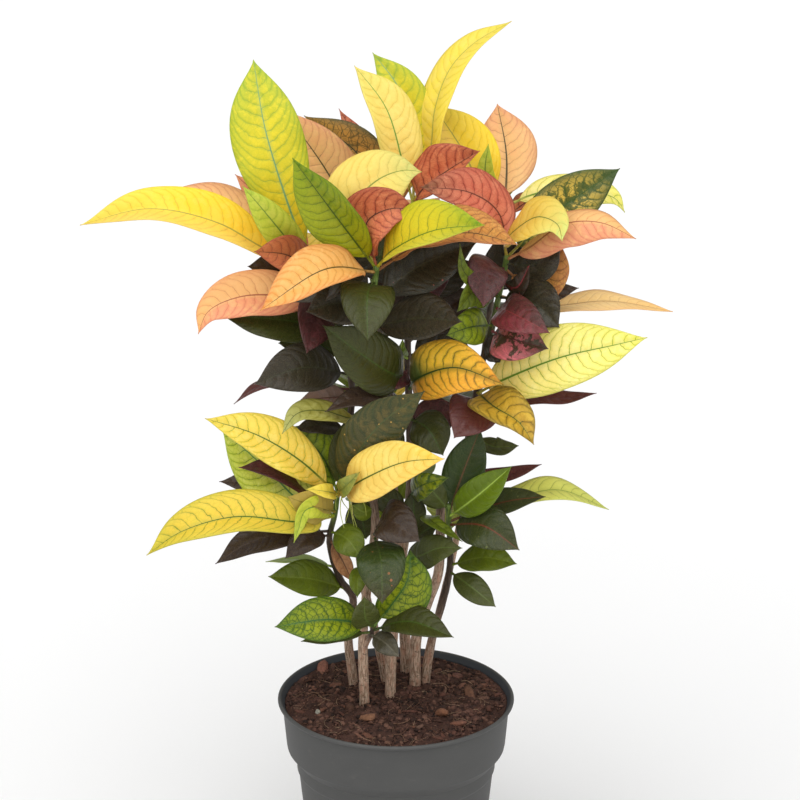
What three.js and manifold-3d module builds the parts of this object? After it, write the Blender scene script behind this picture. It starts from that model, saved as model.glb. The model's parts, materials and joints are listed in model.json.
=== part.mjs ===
// A potted croton: a plastic nursery pot, its filling of peat and seven woody stems with their leaves.
// Millimetres, +Z up. The origin is on the floor at the middle of the pot, with the front at -Y.

import * as THREE from 'three';
import { mergeVertices } from 'three/addons/utils/BufferGeometryUtils.js';
import Module from 'manifold-3d';

const wasm = await Module();
wasm.setup();

// Pot
const POT_HEIGHT = 195;
const LIP_RADIUS = 105;
const LIP_DEPTH = 13;
const LIP_WIDTH = 5;
const COLLAR_TOP_RADIUS = 100.5;
const COLLAR_LOW_RADIUS = 97;
const COLLAR_LOW = 150;
const WAIST_RADIUS = 89;
const WAIST = 131;
const STEP = 117;
const STEP_WIDTH = 2.6;
const FOOT_RADIUS = 74;
const WALL = 2.2;
const FLOOR = 3;
const DRAIN_COUNT = 6;
const DRAIN_RADIUS = 5;
const DRAIN_CIRCLE = 48;
const POT_SIDES = 32;

// Filling
const SOIL_EDGE_HEIGHT = 186.5;
const SOIL_MOUND = 5.5;
const SOIL_ROUGHNESS = 1.6;
const SOIL_SIDES = 32;
const GAP = 0.3;

// Plant
const STEM_SIDES = 7;
const STEM_STEP = 34;
const LEAF_THICKNESS = 1.1;
const PETIOLE_THICKNESS = 2.6;
const PETIOLE_SHARE = 0.11;
const PETIOLE_HALF_WIDTH = 1.5;
const BLADE_STATIONS = [0.12, 0.34, 0.58, 0.82, 1];
const BLADE_STATIONS_SMALL = [0.14, 0.5, 0.83, 1];
const BLADE_STATIONS_BENT = [0.1, 0.25, 0.4, 0.55, 0.7, 0.85, 1];
const SMALL_LEAF_WIDTH = 43;
const BELLY = 0.47;
const BLADE_FULLNESS = 0.7;
const TIP_DRAW = 0.5;
const TURNS = 12;
const TIP_HALF_WIDTH = 0.8;
const ROOT_OFFSET = 0.8;

// The plant was measured from the front, from EYE. A spot is [x, z, depth]: x and z are read on the
// upright plane through the pot's axis, and depth then moves the spot away from EYE along its line.
const EYE = new THREE.Vector3(3.6, -2267.9, 1258.1);

const POT_COLOUR = 0x565654;
const SOIL_COLOUR = 0x3a2720;
const LEAF_COLOUR = 0x8a8c2a;

/** Turns a measured spot into a point. */
function place([x, z, depth]) {
  const reach = 1 - depth / EYE.y;
  return new THREE.Vector3(EYE.x + (x - EYE.x) * reach, depth, EYE.z + (z - EYE.z) * reach);
}

/** The height at which a point is seen on the upright plane through the pot's axis. */
function seenHeight(point) {
  return EYE.z + (point.z - EYE.z) / (1 - point.y / EYE.y);
}

/** A closed solid from points and triangles, with its faces turned outward. */
function solidFrom(positions, triangles) {
  const geometry = new THREE.BufferGeometry();
  geometry.setAttribute('position', new THREE.Float32BufferAttribute(positions, 3));
  geometry.setIndex(triangles);
  return toSolid(geometry);
}

/** A closed solid from a three.js geometry. */
function toSolid(geometry) {
  const bare = geometry.clone();
  bare.deleteAttribute('normal');
  bare.deleteAttribute('uv');
  const merged = mergeVertices(bare, 1e-3);
  const points = merged.getAttribute('position').array;
  const corners = [];
  const index = merged.index.array;
  let volume = 0;
  for (let i = 0; i < index.length; i += 3) {
    const [a, b, c] = [index[i], index[i + 1], index[i + 2]];
    if (a !== b && b !== c && c !== a) {
      corners.push(a, b, c);
      const [p, q, r] = [a, b, c].map((n) => new THREE.Vector3().fromArray(points, 3 * n));
      volume += p.dot(q.cross(r));
    }
  }
  if (volume < 0) {
    corners.reverse();
  }
  return new wasm.Manifold(new wasm.Mesh({
    numProp: 3,
    vertProperties: new Float32Array(points),
    triVerts: new Uint32Array(corners),
  }));
}

/** A named mesh from a solid. */
function toMesh(solid, name, colour, roughness) {
  const mesh = solid.getMesh();
  const geometry = new THREE.BufferGeometry();
  geometry.setAttribute('position', new THREE.Float32BufferAttribute(mesh.vertProperties, 3));
  geometry.setIndex(Array.from(mesh.triVerts));
  geometry.computeVertexNormals();
  const material = new THREE.MeshStandardMaterial({ color: colour, roughness, metalness: 0 });
  const node = new THREE.Mesh(geometry, material);
  node.name = name;
  return node;
}

/** The outside radius of the pot's plain lower wall at a height. */
function lowerWallRadius(z) {
  return FOOT_RADIUS + (WAIST_RADIUS - STEP_WIDTH - FOOT_RADIUS) * (z / STEP);
}

/** The pot: straight lower wall, step, waist, collar and a square lip, with drain holes. */
function makePot() {
  const outline = [
    [0, 0],
    [FOOT_RADIUS - 2, 0],
    [FOOT_RADIUS, 2],
    [lowerWallRadius(92), 92],
    [lowerWallRadius(STEP - 1.5), STEP - 1.5],
    [WAIST_RADIUS - 0.4, STEP + 1],
    [WAIST_RADIUS, WAIST],
    [WAIST_RADIUS + 1.6, WAIST + 3.5],
    [COLLAR_LOW_RADIUS - 1.2, COLLAR_LOW - 4],
    [COLLAR_LOW_RADIUS, COLLAR_LOW],
    [COLLAR_TOP_RADIUS, POT_HEIGHT - LIP_DEPTH - 1.5],
    [LIP_RADIUS - 0.8, POT_HEIGHT - LIP_DEPTH],
    [LIP_RADIUS, POT_HEIGHT - LIP_DEPTH + 1.2],
    [LIP_RADIUS, POT_HEIGHT - 2],
    [LIP_RADIUS - 1.4, POT_HEIGHT],
    [LIP_RADIUS - LIP_WIDTH + 1, POT_HEIGHT],
    [LIP_RADIUS - LIP_WIDTH, POT_HEIGHT - 1.5],
    [COLLAR_TOP_RADIUS - WALL, POT_HEIGHT - LIP_DEPTH - 2],
    [COLLAR_LOW_RADIUS - WALL, COLLAR_LOW + 0.6],
    [WAIST_RADIUS - WALL + 1.4, WAIST + 4.5],
    [WAIST_RADIUS - WALL, WAIST + 1],
    [WAIST_RADIUS - WALL - 0.3, STEP + 1.6],
    [lowerWallRadius(STEP) - WALL, STEP - 1],
    [FOOT_RADIUS - WALL + 0.6, FLOOR + 1],
    [FOOT_RADIUS - WALL - 0.6, FLOOR],
    [0, FLOOR],
  ];
  let pot = turned(outline, POT_SIDES);
  for (let i = 0; i < DRAIN_COUNT; i += 1) {
    const angle = (2 * Math.PI * (i + 0.5)) / DRAIN_COUNT;
    const hole = new THREE.CylinderGeometry(DRAIN_RADIUS, DRAIN_RADIUS, 4 * FLOOR, 8);
    hole.rotateX(Math.PI / 2);
    hole.translate(DRAIN_CIRCLE * Math.cos(angle), DRAIN_CIRCLE * Math.sin(angle), 0);
    pot = pot.subtract(toSolid(hole));
  }
  return pot;
}

/** A solid turned about the pot's axis from an outline of [radius, z]. */
function turned(outline, sides) {
  const lathe = new THREE.LatheGeometry(outline.map(([r, z]) => new THREE.Vector2(r, z)), sides);
  lathe.rotateX(Math.PI / 2);
  return toSolid(lathe);
}

/** The height of the soil: a low mound with small hollows and crumbs. */
function soilHeight(x, y) {
  const share = Math.hypot(x, y) / LIP_RADIUS;
  const mound = SOIL_MOUND * Math.max(0, 1 - share * share * 1.15);
  const broad = Math.sin(0.071 * x + 0.6) * Math.cos(0.083 * y - 0.4);
  const fine = Math.sin(0.19 * x + 0.11 * y) * Math.sin(0.17 * y - 0.13 * x + 1.1);
  return SOIL_EDGE_HEIGHT + mound + SOIL_ROUGHNESS * (0.6 * broad + 0.5 * fine);
}

/** The filling, 0.3 mm clear of the pot's inside. */
function makeSoil() {
  const inset = WALL + GAP;
  const outline = [
    [0, FLOOR + GAP],
    [FOOT_RADIUS - inset - 0.8, FLOOR + GAP],
    [FOOT_RADIUS - inset + 0.5, FLOOR + 1.4],
    [lowerWallRadius(STEP) - inset, STEP - 1],
    [WAIST_RADIUS - inset - 0.4, STEP + 2],
    [WAIST_RADIUS - inset, WAIST + 1],
    [WAIST_RADIUS - inset + 1.2, WAIST + 4.6],
    [COLLAR_LOW_RADIUS - inset, COLLAR_LOW + 0.8],
    [COLLAR_TOP_RADIUS - inset - 0.3, POT_HEIGHT - LIP_DEPTH - 2],
  ];
  const firstTop = outline.length;
  for (const radius of [98.2, 84, 68, 52, 38, 20, 0]) {
    outline.push([radius, SOIL_EDGE_HEIGHT]);
  }
  const points = outline.map(([r, z]) => new THREE.Vector2(r, z));
  const lathe = new THREE.LatheGeometry(points, SOIL_SIDES);
  lathe.rotateX(Math.PI / 2);
  const position = lathe.getAttribute('position');
  for (let i = 0; i < position.count; i += 1) {
    if (i % outline.length >= firstTop) {
      position.setZ(i, soilHeight(position.getX(i), position.getY(i)));
    }
  }
  return toSolid(lathe);
}

/** A smooth line through measured spots. */
function lineThrough(spots) {
  return new THREE.CatmullRomCurve3(spots.map(place), false, 'centripetal');
}

/** A round stem that follows a line and thins from one radius to the other, or its room with a gap. */
function makeStem(line, lowRadius, highRadius, gap = 0) {
  const rings = Math.max(2, Math.ceil(line.getLength() / STEM_STEP));
  const positions = [];
  const triangles = [];
  let side = new THREE.Vector3(1, 0, 0);
  for (let i = 0; i <= rings; i += 1) {
    const share = i / rings;
    const centre = line.getPointAt(share);
    const along = line.getTangentAt(share);
    side = side.clone().addScaledVector(along, -side.dot(along)).normalize();
    const other = along.clone().cross(side);
    if (i === 0) {
      centre.addScaledVector(along, -gap);
    }
    const radius = lowRadius + (highRadius - lowRadius) * Math.pow(share, 0.7) + gap;
    for (let j = 0; j < STEM_SIDES; j += 1) {
      const turn = (2 * Math.PI * j) / STEM_SIDES;
      const point = centre.clone();
      point.addScaledVector(side, radius * Math.cos(turn));
      point.addScaledVector(other, radius * Math.sin(turn));
      positions.push(point.x, point.y, point.z);
    }
  }
  for (let i = 0; i < rings; i += 1) {
    for (let j = 0; j < STEM_SIDES; j += 1) {
      const a = i * STEM_SIDES + j;
      const b = i * STEM_SIDES + ((j + 1) % STEM_SIDES);
      triangles.push(a, b, b + STEM_SIDES, a, b + STEM_SIDES, a + STEM_SIDES);
    }
  }
  const last = rings * STEM_SIDES;
  for (let j = 1; j < STEM_SIDES - 1; j += 1) {
    triangles.push(0, j + 1, j, last, last + j, last + j + 1);
  }
  return solidFrom(positions, triangles);
}

/** The point of a stem that is seen at a height, or its end where the height is above it. */
function jointAt(line, height) {
  let low = 0;
  let high = 1;
  for (let i = 0; i < 24; i += 1) {
    const middle = (low + high) / 2;
    if (seenHeight(line.getPointAt(middle)) < height) {
      low = middle;
    } else {
      high = middle;
    }
  }
  return line.getPointAt(Math.min(low, 0.995));
}

/** The half width of a blade, as a share of its widest, from its foot (0) to its drawn-out tip (1). */
function bladeShare(u, belly = BELLY) {
  const swell = Math.sin(Math.PI * Math.pow(Math.min(u, 0.9999), Math.log(0.5) / Math.log(belly)));
  return Math.pow(swell, BLADE_FULLNESS + TIP_DRAW * Math.pow(u, 4));
}

/** The midrib of a leaf: from its joint through its measured spots, or away in a direction. */
function midribOf(joint, leaf) {
  if (leaf.run) {
    const spots = leaf.run.map(place);
    const root = joint.clone().lerp(spots[0], ROOT_OFFSET / joint.distanceTo(spots[0]));
    return new THREE.CatmullRomCurve3([root, ...spots], false, 'centripetal');
  }
  const [azimuth, rise] = leaf.away.map(THREE.MathUtils.degToRad);
  const heading = new THREE.Vector3(
    Math.cos(rise) * Math.cos(azimuth),
    Math.cos(rise) * Math.sin(azimuth),
    Math.sin(rise),
  );
  const points = [0, 0.35, 0.7, 1].map((share) => {
    const point = joint.clone().addScaledVector(heading, leaf.length * share);
    point.z -= leaf.droop * share * share;
    return point;
  });
  return new THREE.CatmullRomCurve3(points, false, 'centripetal');
}

/** The direction that a leaf's upper side faces at its middle. */
function faceOf(leaf, midrib) {
  const along = midrib.getTangentAt(0.5);
  const face = leaf.run ? EYE.clone().sub(midrib.getPointAt(0.5)) : new THREE.Vector3(0, 0, 1);
  face.addScaledVector(along, -face.dot(along)).normalize();
  return face.applyAxisAngle(along, THREE.MathUtils.degToRad(leaf.roll));
}

/** The direction that a leaf's upper side faces at a share of its midrib, carried from the middle. */
function uprightAt(midrib, face, share) {
  let up = face;
  for (let i = 1; i <= TURNS; i += 1) {
    const along = midrib.getTangentAt(0.5 + (share - 0.5) * (i / TURNS));
    up = up.clone().addScaledVector(along, -up.dot(along)).normalize();
  }
  return up;
}

/** The stations along a blade: more on a leaf whose run has many spots, fewer on a small one. */
function stationsOf(leaf) {
  if (leaf.run && leaf.run.length > 3) {
    return BLADE_STATIONS_BENT;
  }
  return leaf.width < SMALL_LEAF_WIDTH || leaf.away ? BLADE_STATIONS_SMALL : BLADE_STATIONS;
}

/** One leaf: a thick petiole, then a folded blade that narrows to a drawn-out tip. */
function makeLeaf(joint, leaf) {
  const midrib = midribOf(joint, leaf);
  const face = faceOf(leaf, midrib);
  const keel = THREE.MathUtils.degToRad(leaf.fold);
  const sections = [[0, PETIOLE_HALF_WIDTH, PETIOLE_THICKNESS, 0]];
  sections.push([PETIOLE_SHARE, PETIOLE_HALF_WIDTH, PETIOLE_THICKNESS * 0.7, 0.2]);
  for (const u of stationsOf(leaf)) {
    const halfWidth = Math.max(TIP_HALF_WIDTH, 0.5 * leaf.width * bladeShare(u, leaf.belly));
    sections.push([PETIOLE_SHARE + (1 - PETIOLE_SHARE) * u, halfWidth, LEAF_THICKNESS, 1]);
  }
  const positions = [];
  for (const [share, halfWidth, thickness, folding] of sections) {
    const middle = midrib.getPointAt(share);
    const along = midrib.getTangentAt(share);
    const up = uprightAt(midrib, face, share);
    const side = along.clone().cross(up);
    const angle = keel * folding;
    const row = [];
    for (const hand of [1, 0, -1]) {
      const point = middle.clone();
      point.addScaledVector(side, hand * halfWidth * Math.cos(angle));
      point.addScaledVector(up, Math.abs(hand) * halfWidth * Math.sin(angle));
      const out = up.clone().multiplyScalar(hand ? Math.cos(angle) : 1 / Math.cos(angle));
      out.addScaledVector(side, -hand * Math.sin(angle));
      const depth = hand && folding < 1 ? 0 : thickness / 2;
      row.push([point, out.multiplyScalar(depth)]);
    }
    const top = row.map(([point, out]) => point.clone().add(out));
    const under = row.map(([point, out]) => point.clone().sub(out)).reverse();
    for (const point of [...top, ...under]) {
      positions.push(point.x, point.y, point.z);
    }
  }
  return solidFrom(positions, bladeTriangles(sections.length));
}

/** Triangles for rings of six points, split alike on the upper and the under side. */
function bladeTriangles(rings) {
  const triangles = [0, 1, 4, 0, 4, 5, 1, 2, 3, 1, 3, 4];
  const end = 6 * (rings - 1);
  for (const corner of [0, 4, 1, 0, 5, 4, 1, 3, 2, 1, 4, 3]) {
    triangles.push(end + corner);
  }
  for (let i = 0; i < rings - 1; i += 1) {
    for (let j = 0; j < 6; j += 1) {
      const a = 6 * i + j;
      const b = 6 * i + ((j + 1) % 6);
      const c = b + 6;
      const d = a + 6;
      const under = j === 3 || j === 4;
      triangles.push(...(under ? [a, d, b, b, d, c] : [a, c, b, a, d, c]));
    }
  }
  return triangles;
}

// Each shoot: its line from below, its lowest and highest radius, and its leaves. A leaf has the height
// of its joint, then either its run (measured spots along the midrib) or, at the back of the plant, its
// direction away from the stem, length and droop; then its width, roll about the midrib and fold, and
// its belly where the blade is widest beyond its middle.
const SHOOTS = {
  left: {
    line: [[-37, 150, 28], [-38, 207, 30], [-42, 250, 28], [-38, 290, 20], [-48, 305, 13], [-58, 343, -2],
      [-53, 368, -12], [-50, 390, -18]],
    radii: [5.4, 2.2],
    leaves: [
      { at: 386, run: [[-85, 419, -36], [-120, 441, -46], [-164, 456, -54]], width: 43, roll: 20, fold: 18 },
      { at: 372, run: [[-80, 378, -26], [-110, 408, -18], [-150, 447, -10]], width: 56, roll: -8, fold: 15 },
      { at: 366, run: [[-82, 360, -46], [-140, 365, -58], [-187, 351, -64], [-218, 329, -66]], width: 50,
        roll: 32, fold: 30 },
      { at: 352, run: [[-88, 350, -20], [-124, 343, -26], [-158, 321, -30]], width: 30, roll: 30, fold: 10 },
      { at: 348, run: [[-78, 345, -30], [-97, 326, -40]], width: 24, roll: 10, fold: 10 },
      { at: 366, run: [[-70, 375, -56], [-80, 370, -66], [-85, 354, -70], [-89, 341, -70]], width: 20, roll: 0, fold: 8 },
      { at: 374, run: [[-76, 390, -24], [-105, 409, -32], [-136, 411, -36]], width: 28, roll: 52, fold: 8 },
      { at: 380, run: [[-105, 396, 4], [-153, 398, 8]], width: 34, roll: 30, fold: 8 },
      { at: 370, run: [[-66, 373, -52], [-94, 384, -74]], width: 30, roll: 172, fold: 8 },
      { at: 386, run: [[-62, 389, -50], [-78, 391, -60]], width: 15, roll: 25, fold: 20 },
      { at: 388, run: [[-43, 394, -50], [-31, 407, -60]], width: 16, roll: -15, fold: 20 },
      { at: 384, run: [[-26, 401, -58], [8, 416, -84], [42, 419, -102]], width: 46, roll: -20, fold: 15 },
      { at: 390, run: [[-33, 424, -42], [-12, 452, -60], [25, 481, -70]], width: 46, roll: 0, fold: 8 },
      { at: 388, run: [[-64, 422, -10], [-91, 449, -14]], width: 42, roll: 15, fold: 8 },
      { at: 389, run: [[-46, 425, -22], [-43, 455, -26]], width: 24, roll: 0, fold: 8 },
      { at: 297, run: [[-76, 307, -8], [-112, 309, -22]], width: 34, roll: 20, fold: 12 },
      { at: 318, run: [[-85, 325, 24], [-114, 323, 28]], width: 24, roll: 72, fold: 5 },
      { at: 345, run: [[-47, 325, -10], [-38, 304, -14]], width: 17, roll: 10, fold: 25 },
      { at: 352, run: [[-42, 344, -22], [-30, 326, -30]], width: 28, roll: 0, fold: 10 },
      { at: 382, away: [124, 34], length: 115, droop: 55, width: 38, roll: 0, fold: 12 },
    ],
  },
  front: {
    line: [[-28, 145, -12], [-28, 187, -13], [-29, 250, -12], [-25, 300, -15], [-18, 360, -18], [-22, 400, -16],
      [-25, 455, -18], [-27, 500, -24], [-21, 550, -34], [-16, 593, -42]],
    radii: [5, 2.6],
    leaves: [
      { at: 590, run: [[-50, 636, -64], [-86, 686, -82]], width: 50, roll: -26, fold: 26 },
      { at: 587, run: [[-60, 589, -88], [-115, 553, -126]], width: 46, roll: 28, fold: 28 },
      { at: 592, run: [[-2, 606, -64], [32, 623, -88], [75, 628, -110]], width: 56, roll: -45, fold: 33 },
      { at: 588, run: [[20, 611, -40], [60, 621, -62], [103, 611, -84]], width: 50, roll: -50, fold: 30 },
      { at: 594, run: [[-24, 630, -52], [-5, 642, -58], [18, 641, -64]], width: 50, roll: -24, fold: 24 },
      { at: 593, run: [[-34, 634, -44], [-30, 652, -46], [-15, 667, -36], [5, 675, -20], [22, 674, -8]],
        width: 60, roll: 0, fold: 8, belly: 0.42 },
      { at: 591, run: [[-6, 618, -26], [14, 640, -22]], width: 32, roll: 0, fold: 10 },
      { at: 578, run: [[-24, 566, -84], [-24, 526, -112]], width: 46, roll: 0, fold: 12 },
      { at: 585, run: [[-48, 584, -52], [-90, 560, -66]], width: 40, roll: 30, fold: 12 },
      { at: 562, run: [[20, 592, -34], [68, 613, -48]], width: 52, roll: -18, fold: 12 },
      { at: 537, run: [[18, 546, -52], [56, 543, -80]], width: 44, roll: -25, fold: 12 },
      { at: 452, run: [[-44, 457, -30], [-64, 463, -42], [-85, 460, -52], [-98, 442, -58]], width: 24,
        roll: 42, fold: 10 },
      { at: 347, run: [[-13, 324, -58], [-12, 283, -78]], width: 42, roll: 0, fold: 6 },
      { at: 355, run: [[-6, 362, -44], [21, 342, -60]], width: 38, roll: -15, fold: 10 },
      { at: 318, run: [[-33, 308, -34], [-34, 289, -42]], width: 16, roll: 0, fold: 8 },
      { at: 556, run: [[-46, 560, -62], [-76, 552, -84]], width: 40, roll: 15, fold: 10 },
      { at: 374, run: [[-28, 370, -24], [-38, 376, -26]], width: 16, roll: 0, fold: 10 },
    ],
  },
  front_low: {
    from: 'front',
    line: [[-29, 238, -12], [-23, 252, -20], [-18, 265, -28]],
    radii: [2.4, 2],
    leaves: [
      { at: 263, run: [[-3, 284, -34], [10, 306, -38], [13, 334, -38]], width: 52, roll: 30, fold: 30 },
      { at: 261, run: [[-27, 270, -50], [-28, 290, -64]], width: 26, roll: 0, fold: 8 },
      { at: 258, run: [[12, 266, -46], [51, 251, -70]], width: 30, roll: -28, fold: 18 },
      { at: 262, run: [[-60, 268, -48], [-107, 261, -66]], width: 41, roll: 10, fold: 15 },
      { at: 254, run: [[-10, 246, -40], [3, 232, -50]], width: 20, roll: 0, fold: 8 },
      { at: 256, run: [[-52, 253, -30], [-84, 247, -36]], width: 16, roll: 30, fold: 8 },
    ],
  },
  inner_left: {
    line: [[-6, 150, 30], [-9, 208, 32], [-14, 238, 26], [-28, 300, 18], [-36, 380, 8], [-40, 440, 2],
      [-38, 490, 0], [-52, 540, 4], [-70, 590, 8]],
    radii: [5, 2.4],
    leaves: [
      { at: 588, run: [[-88, 640, 4], [-108, 710, 8], [-117, 769, 26]], width: 62, roll: -5, fold: 10,
        belly: 0.58 },
      { at: 586, run: [[-112, 608, -8], [-150, 630, -16], [-206, 642, -20], [-265, 628, -20]], width: 46,
        roll: 32, fold: 32 },
      { at: 590, run: [[-110, 620, 26], [-155, 645, 38], [-200, 656, 46]], width: 48, roll: 35, fold: 22 },
      { at: 591, run: [[-102, 640, 46], [-134, 672, 60]], width: 34, roll: 0, fold: 10 },
      { at: 590, run: [[-96, 622, -18], [-114, 645, -24], [-128, 662, -24]], width: 30, roll: 0, fold: 18 },
      { at: 583, run: [[-92, 602, -28], [-119, 605, -46]], width: 36, roll: 25, fold: 18 },
      { at: 445, run: [[-66, 450, -14], [-87, 446, -18]], width: 20, roll: 35, fold: 8 },
      { at: 476, run: [[-66, 474, -24], [-84, 471, -32]], width: 24, roll: 150, fold: 8 },
      { at: 482, run: [[-98, 488, -10], [-121, 483, -13], [-139, 469, -14]], width: 24, roll: 66, fold: 8 },
      { at: 496, run: [[-80, 502, -36], [-121, 487, -54]], width: 43, roll: 8, fold: 10 },
      { at: 548, run: [[-68, 545, -40], [-76, 515, -62]], width: 44, roll: 0, fold: 10 },
      { at: 537, run: [[-100, 545, -28], [-147, 548, -42]], width: 42, roll: 15, fold: 18 },
      { at: 560, run: [[-95, 566, -22], [-132, 565, -38], [-159, 552, -48], [-168, 532, -52]], width: 44,
        roll: 20, fold: 20 },
      { at: 580, run: [[-98, 590, 0], [-125, 592, -4]], width: 30, roll: 20, fold: 8 },
      { at: 574, away: [112, 40], length: 135, droop: 70, width: 44, roll: 8, fold: 12 },
      { at: 528, away: [124, 22], length: 125, droop: 60, width: 42, roll: -8, fold: 12 },
      { at: 444, away: [114, 34], length: 125, droop: 60, width: 40, roll: 8, fold: 12 },
      { at: 532, run: [[-44, 562, -8], [-24, 592, -14]], width: 36, roll: 0, fold: 8 },
      { at: 512, run: [[-72, 524, 2], [-100, 524, -2]], width: 36, roll: 20, fold: 8 },
      { at: 386, run: [[-30, 366, 0], [-26, 344, -4]], width: 30, roll: 0, fold: 8 },
    ],
  },
  middle: {
    line: [[-5, 148, 4], [-5, 195, 4], [-4, 235, 6], [2, 300, 6], [12, 385, 2], [12, 450, 4], [10, 520, 8],
      [12, 590, 18], [15, 648, 26]],
    radii: [5.6, 2.4],
    leaves: [
      { at: 646, run: [[6, 680, 20], [-8, 728, 24], [-34, 764, 34]], width: 46, roll: 26, fold: 24 },
      { at: 648, run: [[14, 700, 46], [3, 744, 58], [-19, 775, 68]], width: 46, roll: 5, fold: 12 },
      { at: 646, run: [[24, 660, 14], [45, 676, 8], [70, 692, 0]], width: 52, roll: -36, fold: 36 },
      { at: 648, run: [[29, 690, 36], [33, 728, 41], [45, 761, 45], [64, 782, 48], [95, 801, 50]], width: 42,
        roll: -55, fold: 8 },
      { at: 494, run: [[-6, 498, -32], [-32, 516, -50], [-62, 540, -60]], width: 50, roll: 12, fold: 8 },
      { at: 472, run: [[-12, 474, -36], [-36, 474, -46], [-61, 462, -54]], width: 26, roll: 45, fold: 8 },
      { at: 482, run: [[20, 493, -28], [52, 502, -58], [92, 487, -84]], width: 50, roll: -12, fold: 12 },
      { at: 325, run: [[22, 329, -18], [38, 336, -30], [58, 336, -40]], width: 28, roll: -15, fold: 8 },
      { at: 385, run: [[26, 396, -44], [46, 402, -54]], width: 24, roll: -20, fold: 8 },
      { at: 560, run: [[32, 578, -8], [48, 590, -14]], width: 26, roll: -10, fold: 8 },
      { at: 510, run: [[4, 516, -20], [6, 528, -28]], width: 12, roll: 0, fold: 8 },
      { at: 574, run: [[-14, 598, 14], [-44, 614, 12]], width: 38, roll: 10, fold: 10 },
      { at: 500, run: [[0, 493, -14], [-15, 486, -24]], width: 24, roll: 20, fold: 8 },
      { at: 596, run: [[36, 612, 14], [66, 634, 16]], width: 38, roll: -10, fold: 10 },
      { at: 536, run: [[38, 552, 14], [64, 572, 18]], width: 40, roll: -10, fold: 10 },
      { at: 512, run: [[38, 522, 22], [66, 512, 30]], width: 38, roll: -15, fold: 10 },
      { at: 430, run: [[-10, 444, 12], [-26, 460, 18]], width: 28, roll: 10, fold: 10 },
      { at: 440, run: [[32, 456, 14], [54, 466, 18]], width: 36, roll: -10, fold: 10 },
      { at: 368, run: [[-4, 378, -4], [-22, 393, 0]], width: 24, roll: 10, fold: 10 },
      { at: 350, run: [[15, 364, -2], [15, 390, -4]], width: 22, roll: 0, fold: 10 },
      { at: 456, run: [[28, 446, -18], [41, 422, -26]], width: 36, roll: 0, fold: 10 },
      { at: 566, run: [[36, 580, 18], [66, 596, 20]], width: 34, roll: -10, fold: 10 },
      { at: 552, run: [[-6, 566, 24], [-26, 576, 26]], width: 34, roll: 10, fold: 10 },
      { at: 524, away: [62, 14], length: 105, droop: 45, width: 40, roll: 0, fold: 12 },
    ],
  },
  right: {
    line: [[16, 150, 26], [17, 205, 26], [18, 250, 24], [28, 285, 20], [37, 312, 14], [42, 400, 8],
      [62, 435, 0], [72, 500, -5], [80, 530, -8], [88, 570, -10], [94, 602, -12]],
    radii: [6, 2.4],
    leaves: [
      { at: 604, run: [[86, 638, -8], [62, 656, -20], [20, 661, -34]], width: 44, roll: 32, fold: 20 },
      { at: 606, run: [[92, 612, -16], [105, 627, -30], [121, 635, -46], [136, 628, -58], [140, 614, -64]],
        width: 46, roll: -60, fold: 5 },
      { at: 602, run: [[125, 632, 8], [155, 655, 12], [187, 677, 16]], width: 46, roll: 0, fold: 8 },
      { at: 598, run: [[112, 608, -26], [142, 629, -42], [172, 630, -50], [202, 616, -54]], width: 41,
        roll: -38, fold: -28 },
      { at: 590, run: [[115, 573, -8], [132, 589, -12], [139, 613, -14]], width: 34, roll: 10, fold: 8 },
      { at: 594, run: [[116, 594, -22], [139, 611, -28]], width: 34, roll: 0, fold: 8 },
      { at: 575, run: [[125, 569, 2], [155, 573, 2]], width: 22, roll: -25, fold: 8 },
      { at: 566, run: [[130, 557, 16], [180, 561, 16], [235, 552, 12]], width: 40, roll: -66, fold: 5 },
      { at: 565, run: [[116, 560, -34], [139, 538, -50]], width: 44, roll: -8, fold: 10 },
      { at: 555, run: [[98, 551, -54], [131, 533, -80]], width: 34, roll: -15, fold: 10 },
      { at: 535, run: [[98, 528, -46], [130, 519, -64]], width: 40, roll: -10, fold: 10 },
      { at: 590, run: [[78, 590, -40], [74, 556, -62]], width: 36, roll: 0, fold: 10 },
      { at: 578, run: [[103, 574, -34], [113, 593, -42]], width: 16, roll: 0, fold: 10 },
      { at: 570, run: [[57, 588, -58], [54, 612, -64]], width: 13, roll: 0, fold: 10 },
      { at: 565, run: [[66, 570, -44], [52, 552, -58]], width: 30, roll: 0, fold: 10 },
      { at: 540, run: [[62, 538, -38], [43, 531, -52]], width: 32, roll: 0, fold: 10 },
      { at: 478, run: [[90, 490, -28], [140, 511, -52], [185, 522, -64], [214, 529, -68]], width: 56,
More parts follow.
